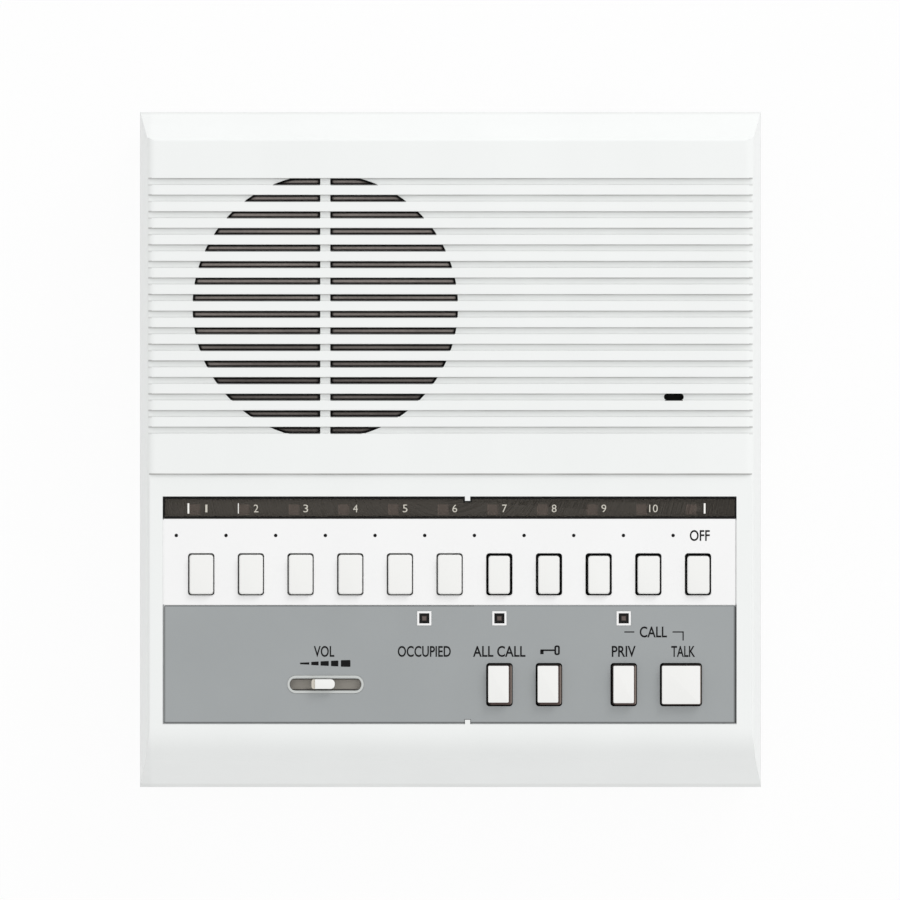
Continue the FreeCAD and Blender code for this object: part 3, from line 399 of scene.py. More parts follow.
def moulded(name, colour, grain=0.35 * MM, depth=0.012 * MM, rough=0.42, rounding=0, **sockets):
    """Moulded plastic: eroded grain, faint flow marks and a little uneven gloss."""
    finish = Finish(name, **sockets)
    flow = finish.noise(30 * MM, 3, (1, 0.35, 1))
    speck = finish.cells(1.6 * MM) < 0.06
    shade = shaded(finish, flow, colour, 0.965, 1.02)
    finish.set("Base Color", finish.mix(speck * 0.12, shade, darker(colour, 0.6)))
    fine = finish.noise(grain, 2)
    finish.set("Roughness", rough - 0.06 + flow * 0.06 + fine * 0.08)
    finish.relief(fine, depth, rounding)
    return finish


def tinted(finish, share, colour):
    """Lays a colour over what the finish already shows."""
    shown = Value(finish, finish.shader.inputs["Base Color"].links[0].from_socket)
    finish.set("Base Color", finish.mix(share, shown, colour))


def outside(value, low, low_full, high_full, high):
    """1 below low_full and above high_full, 0 between low and high, and smooth on the way."""
    return value.ramp(high, high_full).most(value.ramp(low, low_full))


def slot_phase(y):
    """How far a point is past the far edge of the nearest groove before it."""
    return (speaker().y + FIRST_GROOVE - y).repeat(GROOVE_PITCH)


def cover_finish(settings):
    """Warm white moulding with painted shade along the grooves, the seam, the lower rim and the left wall,
    painted shade on the near lips of the slots and in the gaps round the panel."""
    finish = moulded("cover_moulding", settings.cover_colour, settings.grain_size, settings.grain_height,
                     rounding=settings.edge_softness, Specular_IOR_Level=0.3)
    x, y, z = finish.place
    foot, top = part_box("front_cover")
    first = speaker().y + FIRST_GROOVE
    across = slot_phase(y)
    deck = (y < first + 0.3 * MM) * (y > first - 15.8 * GROOVE_PITCH)
    floor = (z > top.z - 1.35 * MM) * (z < top.z - 0.3 * MM) * deck
    far_line = across.ramp(0.58 * MM, 0.15 * MM) + across.ramp(5.3 * MM, 5.55 * MM)
    near_line = across.ramp(1.9 * MM, 2.2 * MM) * across.ramp(2.8 * MM, 2.5 * MM)
    patchy = finish.noise(4 * MM, 3, (0.2, 1, 1)).ramp(0.25, 0.75) * 0.4 + 0.6
    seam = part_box("control_panel")[1].y + SEAM_FROM_PANEL
    seam_line = (y - seam - 0.06 * MM).size().ramp(0.4 * MM, 0.2 * MM) * (z > top.z - 1.0 * MM)
    rim = z.ramp(foot.z + 3.2 * MM, foot.z + 1.6 * MM) * 0.25
    left_wall = x.ramp(foot.x + 4.5 * MM, foot.x + 3.0 * MM) * 0.12
    # painted shade: dark lines at the grooves' walls and at the seam step, darker towards the foot and on the left
    # wall
    painted_shading = floor * (far_line + near_line * 0.45) + seam_line * 1.3 + rim + left_wall * (z < top.z - 0.5 * MM)
    tinted(finish, painted_shading * patchy * settings.grime, settings.grime_colour)
    slot = (finish.from_axis(speaker()) < SLOT_FIELD) * ((x - speaker().x).size() > 1.8 * MM)
    capsule = centre_of("microphone")
    slot = slot.most(((x - capsule.x).size() < 3.1 * MM) * ((y - capsule.y).size() < 2 * MM))
    # painted shade: a dark line along the near lip of each open slot and of the microphone slot
    lip = across.ramp(2.2 * MM, 2.28 * MM) * across.ramp(2.52 * MM, 2.44 * MM) * slot
    tinted(finish, lip * 0.86, (0.02, 0.018, 0.017))
    low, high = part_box("control_panel")
    middle = (low + high) / 2
    half = (high - low) / 2
    # painted shade: the cover's walls in the gap round the control panel are darkened along the smoked strip and on
    # the right half of the grey sheet
    gap = ((x - middle.x).size() < half.x + PANEL_GAP * 1.1) * ((y - middle.y).size() < half.y + PANEL_GAP * 1.1)
    gap = gap * (z < top.z - 1.0 * MM)
    white_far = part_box("name_window")[0].y
    white_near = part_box("overlay_sheet")[1].y
    grey_part = (y < white_near) * (x > middle.x) * (y > low.y) * 0.8
    tinted(finish, gap * (grey_part + (y > white_far)).least(0.95), (0.02, 0.02, 0.02))
    return finish


def plate_finish(settings):
    """White panel moulding with painted shade in its openings, black in the holes of the looser keys; the raised
    rim of the volume slot is greyer, with painted shade at its inner edge."""
    finish = moulded("panel_moulding", settings.white_colour, 0.25 * MM, 0.005 * MM, 0.36, rounding=0.1 * MM)
    x, y, z = finish.place
    centre = volume_place()
    along = ((x - centre.x).size() - 9.95 * MM).most(0)
    reach = finish.node("ShaderNodeVectorMath", {"operation": "LENGTH"},
                        {0: finish.node("ShaderNodeCombineXYZ", inputs={0: along, 1: y - centre.y})}, "Value")
    face = face_level()
    tinted(finish, (z > face - 0.3 * MM) * (reach < 3.2 * MM), settings.rim_colour)
    # painted shade at the inner edge and on the walls of the volume slot
    tinted(finish, (z < face + 0.1 * MM) * (reach < 2.4 * MM) * 0.85, (0.03, 0.03, 0.027))
    # painted shade in the openings, black in the holes of the looser keys
    dark = (z < face - 0.5 * MM) * 0.5
    tinted(finish, dark.most((z < face - 0.25 * MM) * (x > first_loose()) * 0.95), BLACK)
    return finish


def sheet_finish(colour):
    """Grey printed sheet, faintly mottled, with painted shade along its edges, weaker on the right of its far edge.
    """
    finish = moulded("grey_sheet", colour, 0.2 * MM, 0.004 * MM, 0.38)
    x, y = finish.place[:2]
    cloud = finish.noise(22 * MM, 4)
    shade = shaded(finish, cloud, colour, 0.955, 1.045)
    low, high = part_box("overlay_sheet")
    # painted shade along the four edges of the sheet
    far_line = y.ramp(high.y - 0.55 * MM, high.y - 0.25 * MM) * (1 - (x > 8 * MM) * 0.5)
    line = (far_line * 0.7).most(x.ramp(high.x - 0.7 * MM, high.x - 0.36 * MM) * 0.84)
    line = line.most(y.ramp(low.y + 0.46 * MM, low.y + 0.28 * MM) * 0.85)
    line = line.most(x.ramp(low.x + 0.6 * MM, low.x + 0.35 * MM) * 0.62)
    return finish.look(finish.mix(line, shade, darker(colour, 0.3)))


def plunger_finish(colour):
    """Brown plunger with painted shade on its far and left sides and painted light on its right shelf."""
    finish = moulded("plunger_moulding", colour, 0.22 * MM, 0.004 * MM, 0.4, Specular_IOR_Level=0.15)
    x, y = finish.place[:2]
    row = centre_of("talk_key").y
    # painted shade along the far side of the plungers
    dark = (y - row - 6.2 * MM).ramp(-0.2 * MM, 0.1 * MM)
    pale = (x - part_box("all_call_key")[1].x).size()
    for name in FUNCTION_KEYS:
        low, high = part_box(name + "_key")
        dark = dark.most((x - low.x).size().ramp(1.2 * MM, 0.8 * MM))
        pale = pale.least((x - high.x).size())
    # painted shade on the left of each plunger, painted light on its right shelf
    tinted(finish, dark * 0.85, (0.008, 0.007, 0.007))
    tinted(finish, pale.ramp(0.3 * MM, 0.1 * MM) * 0.7, paint(150, 138, 130))
    return finish


def shutter_finish(colour):
    """Dull brown-grey shutter with painted shade where it runs under the sides of the slot."""
    finish = moulded("shutter_moulding", colour, 0.3 * MM, 0.01 * MM, 0.55)
    y = finish.place[1]
    # painted shade under the sides of the slot
    tinted(finish, (y - volume_place().y).size().ramp(1.4 * MM, 1.85 * MM) * 0.9, (0.02, 0.02, 0.018))
    return finish


def lamp_patch(x, y):
    """1 in the soft squares where the station lamps show through the card."""
    first = centre_of("station_key_1") - Vector((LAMP_FROM_KEY, 0, 0))
    pitch = key_pitch()
    row = centre_of("name_card").y - LAMP_DROP
    side = ((x - first.x + pitch / 2).repeat(pitch) - pitch / 2).size()
    return side.ramp(2.1 * MM, 1.5 * MM) * (y - row).size().ramp(2.0 * MM, 1.5 * MM)


def window_finish(colour, alpha):
    """Smoked see-through strip with faint wipe marks; painted shade makes its edges black, also round the cover's
    tab.
    """
    finish = Finish("smoked_window", Specular_IOR_Level=0.12)
    x, y = finish.place[:2]
    wipe = finish.noise(2.5 * MM, 2, (0.08, 1, 1))
    low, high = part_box("name_window")
    across = outside(y, low.y + 0.85 * MM, low.y + 0.62 * MM, high.y - 0.42 * MM, high.y - 0.6 * MM)
    along = outside(x, low.x + 0.5 * MM, low.x + 0.35 * MM, high.x - 0.2 * MM, high.x - 0.35 * MM)
    tab = (x - TAB_X).size().ramp(1.5 * MM, 1.35 * MM) * y.ramp(high.y - 1.7 * MM, high.y - 1.55 * MM)
    # painted shade: black, opaque edges and notch
    edge = across.most(along).most(tab)
    tint = shaded(finish, wipe, colour, 0.97, 1.03)
    finish.set("Base Color", finish.mix(edge * 0.96, tint, (0.003, 0.003, 0.003)))
    finish.set("Alpha", alpha + edge * (1 - alpha))
    finish.set("Roughness", 0.16 + wipe * 0.1)
    return finish


def card_finish(colour):
    """Dark printed card with paper fibres, paler round each lamp."""
    finish = Finish("name_card", Roughness=0.8, Specular_IOR_Level=0.2)
    x, y = finish.place[:2]
    fibre = finish.noise(1.3 * MM, 2, (1, 2, 1))
    paper = shaded(finish, fibre, colour, 0.985, 1.015)
    return finish.look(finish.mix(lamp_patch(x, y) * 0.7, paper, paint(186, 163, 153)),
                       height=fibre, depth=0.001 * MM)


def lamp_finish():
    """Unlit bulbs, some redder than others, in pale holders."""
    finish = Finish("station_lamp", Specular_IOR_Level=0.3)
    x, y, z = finish.place
    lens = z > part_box("station_lamps")[1].z - 3.3 * MM
    cloud = finish.noise(1.5 * MM, 2)
    redder = finish.noise(25 * MM, 1, (1, 0, 0)).ramp(0.4, 0.6)
    red = finish.mix(redder, paint(170, 158, 146), paint(182, 150, 138))
    red = finish.mix(cloud * 0.5, red, paint(204, 184, 170))
    red = finish.mix(lamp_patch(x, y), paint(112, 104, 98), red)
    return finish.look(finish.mix(lens, paint(190, 186, 176), red), 0.3 + cloud * 0.2)


def lens_finish():
    """Dark square lenses with a faint paler middle."""
    finish = Finish("status_lens", Specular_IOR_Level=0.15)
    x, y = finish.place[:2]
    middle = centre_of("status_lamps").y
    across = (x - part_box("status_lamps")[0].x - STATUS_LAMP_HALF).size()
    for name in ("all_call_key", "privacy_key"):
        across = across.least((x - centre_of(name).x).size())
    spot = across.most((y - middle).size()).ramp(0.95 * MM, 0.45 * MM)
    cloud = finish.noise(0.7 * MM, 2)
    return finish.look(finish.mix(spot * (0.4 + cloud * 0.8), paint(17, 16, 16), paint(112, 100, 96)),
                       0.2 + cloud * 0.12)


def metal_finish(name, colour, rough, along="x"):
    """Plated steel with fine drawing lines and a few dull patches."""
    finish = Finish(name, Metallic=1.0)
    lines = finish.noise(0.15 * MM, 2, {"x": (0.04, 1, 1), "y": (1, 0.04, 1)}[along])
    dull = finish.noise(6 * MM, 4)
    return finish.look(finish.mix(dull, darker(colour, 0.82), colour),
                       rough + lines * 0.14 + dull * 0.1, lines, 0.004 * MM)


def rubber_finish(name, colour):
    """Matt rubber with a powdery bloom."""
    finish = Finish(name, Roughness=0.8)
    bloom = finish.noise(3 * MM, 4)
    grit = finish.cells(0.5 * MM)
    return finish.look(finish.mix(bloom.ramp(0.35, 0.8), colour, darker(colour, 2.2)),
                       0.7 + bloom * 0.2, grit, 0.02 * MM)


def cloth_finish():
    """Loudspeaker cloth: a fine plain weave, dark, with painted light along the middle of each slot's opening,
    stronger over the middle of the cone.
    """
    finish = Finish("loudspeaker_cloth", Roughness=0.95, Specular_IOR_Level=0.2)
    x, y = finish.place[:2]
    centre = speaker()
    pitch = 0.62 * MM
    weave = x.wave(pitch) * y.wave(pitch) * 0.5 + 0.5
    from_middle = finish.from_axis(centre)
    slub = finish.noise(0.9 * MM, 3, (1, 0.1, 1))
    fade = (y - centre.y - 14 * MM).size().ramp(48 * MM, 4 * MM)
    band = (slot_phase(y) - 1.2 * MM).size().ramp(0.72 * MM, 0.02 * MM)
    open_part = band * (x - centre.x).size().ramp(2.1 * MM, 3.2 * MM) * from_middle.ramp(44.6 * MM, 43.8 * MM)
    gust = finish.noise(4 * MM, 3, (0.1, 1, 1)).ramp(0.25, 0.75)
    # painted light along the middle of each slot's opening, fading to painted shade at its edges
    painted_shading = open_part * (0.34 + fade * 0.42 + gust * 0.36)
    ground = finish.mix(painted_shading.least(1), paint(13, 11, 11), paint(186, 177, 173))
    thread = finish.mix(weave * 0.6 + slub * 0.4, (0.6, 0.6, 0.6), (1.3, 1.28, 1.25))
    finish.set("Base Color", finish.node("ShaderNodeMix", {"data_type": "RGBA", "blend_type": "MULTIPLY"},
                                         {0: 1.0, 6: ground, 7: thread}, 2))
    finish.relief(weave, 0.1 * MM)
    return finish


def foam_finish():
    """Closed foam with open pores."""
    finish = Finish("gasket_foam", Roughness=0.95)
    pores = finish.cells(0.6 * MM)
    return finish.look(finish.mix(pores.ramp(0.2, 0.7), (0.012, 0.012, 0.012), (0.06, 0.06, 0.06)),
                       height=pores, depth=0.15 * MM)


def cone_finish():
    """Pressed dark paper with fibres and faint rings."""
    finish = Finish("cone_paper", Roughness=0.9)
    rings = finish.from_axis(centre_of("speaker_cone")).wave(2.4 * MM) * 0.5 + 0.5
    fibre = finish.noise(0.5 * MM, 5)
    return finish.look(finish.mix(fibre, paint(38, 36, 35), paint(72, 69, 66)),
                       height=rings * 0.6 + fibre * 0.4, depth=0.12 * MM)


def board_finish():
    """Green lacquered board with copper runs under the lacquer."""
    finish = Finish("board_lacquer", Roughness=0.35, Coat_Weight=0.25)
    x, y = finish.place[:2]
    row = y.repeat(2.54 * MM)
    column = x.repeat(2.54 * MM)
    block = finish.noise(12 * MM, 1)
    runs = (row < 0.7 * MM) * (block > 0.5) + (column < 0.7 * MM) * (block < 0.42)
    weave = finish.noise(0.4 * MM, 3)
    lacquer = finish.mix(weave, paint(38, 84, 48), paint(52, 102, 60))
    return finish.look(finish.mix(runs.least(1.0) * 0.7, lacquer, paint(88, 128, 70)),
                       0.3 + weave * 0.15, runs.least(1.0), 0.03 * MM)


def transformer_finish():
    """Varnished laminations and amber winding tape."""
    finish = Finish("transformer_core", Roughness=0.5)
    y = finish.place[1]
    tape = (y - centre_of("transformer").y).size() > 6.05 * MM
    sheets = y.repeat(0.6 * MM) < 0.12 * MM
    varnish = finish.noise(2 * MM, 4)
    core = finish.mix(varnish, paint(56, 52, 50), paint(92, 86, 80))
    core = finish.mix(sheets * 0.6, core, BLACK)
    amber = finish.mix(varnish, paint(176, 136, 62), paint(206, 168, 92))
    return finish.look(finish.mix(tape, core, amber), 0.35 + varnish * 0.25, sheets * (1 - tape), 0.05 * MM)


def can_finish():
    """Capacitor cans: a printed sleeve with a pale stripe, and a bright end."""
    finish = Finish("capacitor_sleeve", Roughness=0.35)
    scuffs = finish.noise(1.2 * MM, 4)
    normal = finish.node("ShaderNodeTexCoord", output="Normal")
    up = finish.node("ShaderNodeSeparateXYZ", inputs={0: normal}, output="Z")
    side = finish.node("ShaderNodeSeparateXYZ", inputs={0: normal}, output="X")
    end = up > 0.9
    sleeve = finish.mix(scuffs, paint(24, 38, 82), paint(36, 52, 104))
    sleeve = finish.mix(side > 0.86, sleeve, paint(190, 194, 200))
    finish.set("Base Color", finish.mix(end, sleeve, paint(206, 207, 208)))
    finish.set("Metallic", end)
    finish.set("Roughness", 0.28 + scuffs * 0.2)
    return finish


def ferrite_finish():
    """Ground grey ferrite with small chips."""
    finish = Finish("ferrite_ring", Roughness=0.6)
    ground = finish.noise(0.4 * MM, 3, (1, 1, 0.1))
    chips = finish.cells(4 * MM) < 0.08
    return finish.look(finish.mix(ground, paint(52, 52, 55), paint(84, 84, 88)),
                       0.5 + ground * 0.2, 1 - chips, 0.1 * MM)


def capsule_finish():
    """Drawn aluminium can with black felt over its mouth."""
    finish = Finish("microphone_can", Metallic=1.0)
    z = finish.place[2]
    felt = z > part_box("microphone")[1].z - 0.05 * MM
    fuzz = finish.noise(0.3 * MM, 4)
    finish.set("Base Color", finish.mix(felt, paint(200, 200, 202), paint(22, 22, 22)))
    finish.set("Metallic", 1 - felt)
    finish.set("Roughness", 0.25 + fuzz * 0.15 + felt * 0.6)
    finish.relief(fuzz * felt, 0.15 * MM)
    return finish


def ink_finish(name, colour):
    """Screen-printed ink, slightly thin in places."""
    finish = Finish(name, Specular_IOR_Level=0.12)
    thin = finish.noise(0.5 * MM, 4)
    return finish.look(shaded(finish, thin, colour, 0.85, 1.2), 0.42 + thin * 0.2)


def floor_finish(settings):
    """Pale floor that the camera sees nearly white, with the intercom's soft shadow on it."""
    finish = Finish("pale_floor", Roughness=0.9)
    cloud = finish.noise(60 * MM, 3)
    colour = settings.floor_colour
    finish.set("Base Color", finish.mix(cloud, darker(colour, 0.985), colour))
    glow = finish.node("ShaderNodeEmission", inputs={"Color": (1, 1, 1, 1), "Strength": 1.0})
    lit = Value(finish, finish.shader.outputs[0])
    seen = finish.node("ShaderNodeMixShader", inputs={0: finish.seen() * settings.floor_glow, 1: lit, 2: glow})
    finish.tree.links.new(seen.socket, finish.tree.nodes["Material Output"].inputs["Surface"])
    return finish


def wear(finish, *names):
    """Gives a finish to CAD nodes or to new pieces."""
    for name in names:
        piece = bpy.data.objects[name]
        if piece.material_slots:
            for place in piece.material_slots:
                place.material = finish.material
        else:
            piece.data.materials.append(finish.material)


def only(piece=None):
    """Makes one piece the only selected one, or selects none, in object mode."""
    if bpy.context.object and bpy.context.object.mode != "OBJECT":
        bpy.ops.object.mode_set(mode="OBJECT")
    bpy.ops.object.select_all(action="DESELECT")
    if piece:
        piece.select_set(True)
        bpy.context.view_layer.objects.active = piece


def settled(name):
    """The active object under that name, with its place in its mesh."""
    piece = bpy.context.object
    piece.name = piece.data.name = name
    bpy.ops.object.transform_apply(location=True, rotation=True, scale=True)
    return piece


def block(name, low, high):
    """A block between two corners."""
    only()
    low, high = Vector(low), Vector(high)
    bpy.ops.mesh.primitive_cube_add(size=1, location=(low + high) / 2, scale=high - low)
    return settled(name)


def none_picked(piece, kind):
    """Clears the piece's selection of faces or edges, ready for a new one."""
    only(piece)
    bpy.ops.object.mode_set(mode="EDIT")
    bpy.ops.mesh.select_mode(type=kind)
    bpy.ops.mesh.select_all(action="DESELECT")
    bpy.ops.object.mode_set(mode="OBJECT")


def pick_faces(piece, test=lambda centre, normal: True):
    """Selects the faces whose centre and normal pass the test, in edit mode."""
    none_picked(piece, "FACE")
    for face in piece.data.polygons:
        face.select = bool(test(face.center, face.normal))
    bpy.ops.object.mode_set(mode="EDIT")


def pick_edges(piece, test):
    """Selects the edges whose two ends pass the test, in edit mode."""
    none_picked(piece, "EDGE")
    points = piece.data.vertices
    for edge in piece.data.edges:
        edge.select = bool(test(*[points[index].co for index in edge.vertices]))
    bpy.ops.object.mode_set(mode="EDIT")


def near(first, second):
    """True where two lengths are the same to a hundredth of a millimetre."""
    return abs(first - second) < 0.01 * MM


def upright(first, second):
    """True for an upright edge."""
    return near(first.x, second.x) and near(first.y, second.y) and not near(first.z, second.z)


def at_height(level):
    """A test for edges that lie at that height."""
    return lambda first, second: near(first.z, level) and near(second.z, level)


def rounded(piece, test, radius, segments):
    """Rounds the edges that pass the test."""
    pick_edges(piece, test)
    bpy.ops.mesh.bevel(offset=radius, segments=segments, affect="EDGES")
    bpy.ops.object.mode_set(mode="OBJECT")


def hollowed(piece, wall, rise):
    """Opens a piece from below, with that wall and up to that height over its foot."""
    pick_faces(piece, lambda centre, normal: normal.z < -0.9)
    bpy.ops.mesh.inset(thickness=wall)
    bpy.ops.mesh.extrude_region_move(TRANSFORM_OT_translate={"value": (0, 0, rise)})


def opened(piece, wall):
    """Cuts a piece open from top to bottom, with that wall left."""
    pick_faces(piece, lambda centre, normal: abs(normal.z) > 0.9)
    bpy.ops.mesh.inset(thickness=wall)
    bpy.ops.mesh.bridge_edge_loops()


def smooth(piece):
    """Smooth shading, with its sharp edges kept."""
    only(piece)
    bpy.ops.object.shade_smooth_by_angle(angle=SHARP_ANGLE)
    return piece


def copied(piece, name, shift):
    """A copy with its own mesh, moved by shift."""
    only(piece)
    bpy.ops.object.duplicate()
    bpy.ops.transform.translate(value=shift)
    return settled(name)


def set_in(node, left, right, near_side, far_side):
    """Corners of a CAD node's box, set in by margins in millimetres."""
    low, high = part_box(node)
    return low + Vector((left, near_side, 0)) * MM, high - Vector((right, far_side, 0)) * MM


def key_cap(name, node, settings, *margins):
    """A hollow cap over one CAD key, set in by a margin on each side: rounded corners, a tapered head with a
    soft edge, and a wall below."""
    low, high = set_in(node, *margins)
    taper = settings.head_taper
    cap = block(name, low, high)
    rounded(cap, upright, settings.corner_radius, 5)
    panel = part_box("control_panel")[1].z
    pick_faces(cap)
    bpy.ops.mesh.bisect(plane_co=(0, 0, panel), plane_no=(0, 0, 1))
    middle = (low + high) / 2
    pick_faces(cap, lambda centre, normal: normal.z > 0.9)
    span = high - low
    bpy.ops.transform.resize(value=(1 - 2 * taper / span.x, 1 - 2 * taper / span.y, 1), center_override=middle)
    rounded(cap, at_height(high.z), settings.edge_radius, 4)
    hollowed(cap, settings.cap_wall, high.z - settings.cap_roof - low.z)
    return smooth(cap)


def slider_knob(name, settings):
    """Slide knob: a rounded nose on its right, a low shoulder on its left, and a neck through the slot."""
    low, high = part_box("volume_knob")
    low = low + Vector((0, settings.knob_near, 0))
    high = high - Vector((settings.knob_right, settings.knob_far, 0))
    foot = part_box("control_panel")[1].z + 0.25 * MM
    shoulder = high.z - settings.knob_step
    knob = block(name, (low.x, low.y, foot), (high.x, high.y, shoulder))
    rounded(knob, lambda a, b: upright(a, b) and a.x > (low.x + high.x) / 2, settings.knob_nose, 7)
    rounded(knob, lambda a, b: upright(a, b) and near(a.x, low.x), settings.knob_shoulder * 0.7, 4)
    step = low.x + settings.knob_shoulder
    pick_faces(knob)
    bpy.ops.mesh.bisect(plane_co=(step, 0, 0), plane_no=(1, 0, 0))
    pick_faces(knob, lambda centre, normal: normal.z > 0.9 and centre.x > step)
    bpy.ops.mesh.extrude_region_move(TRANSFORM_OT_translate={"value": (0, 0, settings.knob_step)})
    rounded(knob, at_height(high.z), 0.22 * MM, 3)
    hollowed(knob, 1.2 * MM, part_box("control_panel")[1].z - 2 * MM - foot)
    return smooth(knob)


def printed(name, text, centre, width, height, level, settings, boldness=0.0):
    """Printed letters fitted to a width and height, as a thin raised mesh."""
    only()
    bpy.ops.object.text_add()
    words = bpy.context.object
    words.data.body = text
    words.data.size = height * 1.4
    words.data.resolution_u = 4
    words.data.offset = boldness * height
    words.data.extrude = settings.ink_height / 2
    bpy.ops.object.convert(target="MESH")
    corners = bpy.context.object.bound_box
    low, high = Vector(corners[0]), Vector(corners[6])
    middle = (low + high) / 2
    size = high - low
    bpy.ops.transform.resize(value=(width / size.x, height / size.y, 1), center_override=(0, 0, 0))
    shift = (centre[0] - middle.x * width / size.x, centre[1] - middle.y * height / size.y, level)
    bpy.ops.transform.translate(value=shift)
    return settled(name)


def printed_bar(place, sides, settings, left_share=1):
    """A printed rectangle with slightly softened corners. Its sides are in millimetres from the place: left,
    right, near and far. left_share narrows its left end."""
    x0, x1, y0, y1 = [side * MM + start for side, start in zip(sides, (place[0], place[0], place[1], place[1]))]
    level, half = place[2], settings.ink_height / 2
    bar = block("bar", (x0, y0, level - half), (x1, y1, level + half))
    pick_edges(bar, lambda a, b: near(a.x, x0) and near(b.x, x0))
    bpy.ops.transform.resize(value=(1, left_share, 1), center_override=(x0, (y0 + y1) / 2, level))
    rounded(bar, upright, 0.1 * min(x1 - x0, y1 - y0), 2)
    return bar


def merged(name, pieces):
    """One piece from several, joined."""
    only(pieces[0])
    for piece in pieces[1:]:
        piece.select_set(True)
    if len(pieces) > 1:
        bpy.ops.object.join()
    joined = bpy.context.object
    joined.name = joined.data.name = name
    return joined


def at_every_key(name, first):
    """A piece made for the first station key, repeated at all the keys and joined."""
    shifts = [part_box(key_node(index))[0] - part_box("station_key_1")[0] for index in range(2, KEY_COUNT + 1)]
    return merged(name, [first, *[copied(first, name, shift) for shift in shifts]])


def fitted(piece, body, finish, slot, *nodes):
    """Sets a finished piece on its body, with its finish, and hides the CAD nodes that it stands for."""
    wear(finish, piece.name)
    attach(piece, body)
    if nodes:
        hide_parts(*nodes)


class CaseFinishes(bpy.types.Operator):
    """Gives the cover, the rear case, the feet and the screws their finishes"""
    bl_idname = "intercom.case_finishes"
    bl_label = "Case finishes"

    def execute(self, context):
        settings = context.scene.intercom_case
        wear(cover_finish(settings), "front_cover")
        wear(moulded("rear_moulding", settings.rear_colour, 0.5 * MM, 0.02 * MM, 0.5, 0.3 * MM), "rear_case")
        wear(rubber_finish("foot_rubber", paint(34, 34, 34)), "rubber_feet", "microphone_boot")
        wear(metal_finish("zinc_screws", paint(188, 188, 184), 0.25), "case_screws", "small_screws")
        return {"FINISHED"}


class PanelFinishes(bpy.types.Operator):
    """Gives the control panel, its strip, its sheet and its lamps their finishes"""
    bl_idname = "intercom.panel_finishes"
    bl_label = "Panel finishes"

    def execute(self, context):
        settings = context.scene.intercom_panel
        wear(plate_finish(settings), "control_panel")
        wear(sheet_finish(settings.sheet_colour), "overlay_sheet")
        wear(window_finish(settings.window_colour, settings.window_alpha), "name_window")
        wear(card_finish(settings.card_colour), "name_card")
        wear(lamp_finish(), "station_lamps")
        wear(lens_finish(), "status_lamps")
        wear(shutter_finish(settings.shutter_colour), "volume_lever")
        return {"FINISHED"}


class PanelSeals(bpy.types.Operator):
    """Models the white seals beside the white plate and the grey ones left of and below the grey sheet, whose grey
    is painted shade of those gaps
    """
    bl_idname = "intercom.panel_seals"
    bl_label = "Panel seals"

    def execute(self, context):
        settings = context.scene.intercom_panel
        finish = moulded("seal_moulding", settings.white_colour, 0.25 * MM, 0.005 * MM, 0.5)
        low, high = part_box("control_panel")
        near_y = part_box("overlay_sheet")[1].y + 0.3 * MM
        far_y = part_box("name_window")[0].y - 0.3 * MM
        top = face_level()
        # painted shade: the grey seals take the colour of the half-shaded gaps
        grey = moulded("gap_shade_seal", settings.seal_colour, 0.25 * MM, 0.005 * MM, 0.6)
        left, right = low.x - PANEL_GAP + PLAY, high.x + PANEL_GAP - PLAY
        below = low.y - PANEL_GAP + PLAY
        seals = (
            ("left_seal", left, low.x - PLAY, near_y, far_y, 0.01 * MM, finish),
            ("right_seal", high.x + 0.09 * MM, right - 0.02 * MM, near_y, far_y, 0.03 * MM, finish),
            ("left_grey_seal", left, low.x - PLAY, low.y - PLAY, near_y - 0.02 * MM, 0.25 * MM, grey),
            ("near_grey_seal_1", left, TAB_X - 1.0 * MM, below, low.y - 2 * PLAY, 0.2 * MM, grey),
            ("near_grey_seal_2", TAB_X + 1.0 * MM, right, below, low.y - 2 * PLAY, 0.2 * MM, grey),
        )
        for name, x0, x1, y0, y1, sunk, look in seals:
            seal = block(name, (x0, y0, top - PANEL_THICKNESS), (x1, y1, top - sunk))
            rounded(seal, at_height(top - sunk), 0.02 * MM, 2)
            fitted(smooth(seal), "case", look, "panel_plastic")
        return {"FINISHED"}


class OpeningLiners(bpy.types.Operator):
    """Models the white liners in the station key holes and in the volume slot"""
    bl_idname = "intercom.opening_liners"
    bl_label = "Opening liners"

    def execute(self, context):
        finish = plate_finish(context.scene.intercom_panel)
        low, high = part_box("station_key_1")
        side = Vector((KEY_HOLE_MARGIN, KEY_HOLE_MARGIN, 0))
        face = face_level()
        first = self.liner("key_liner", low - side, high + side, face - PLAY, 1.08 * MM,
                           (0.27 * MM, 0.02 * MM), 0.05)
        fitted(smooth(at_every_key("key_liners", first)), "case", finish, "panel_plastic")
        centre = volume_place()
        reach = Vector((12.2, 2.25, 0)) * MM
        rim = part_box("control_panel")[1].z
        slot = self.liner("slot_liner", centre - reach, centre + reach, rim - PLAY, 2.15 * MM,
                          (0.11 * MM, 0.2 * MM))
        fitted(smooth(slot), "case", finish, "panel_plastic")
        return {"FINISHED"}

    def liner(self, name, low, high, top, corner, sills, turn=0.99):
        """Thin upright ring in an opening, thicker by a sill on its near and its far side. The sill takes in
        the faces that look at the other side by at least the share called turn."""
        play = Vector((0.015, 0.015, 0)) * MM
        low, high = low + play, high - play
        ring = block(name, (low.x, low.y, top - 0.9 * MM), (high.x, high.y, top))
        middle = (low + high) / 2
        rounded(ring, upright, corner, 6)
        opened(ring, 0.03 * MM)
        for way, sill in zip((1, -1), sills):
            pick_faces(ring, lambda centre, normal: normal.y * way > turn and (centre.y - middle.y) * way < 0)
            bpy.ops.transform.translate(value=(0, way * sill, 0))
        bpy.ops.object.mode_set(mode="OBJECT")
        return ring


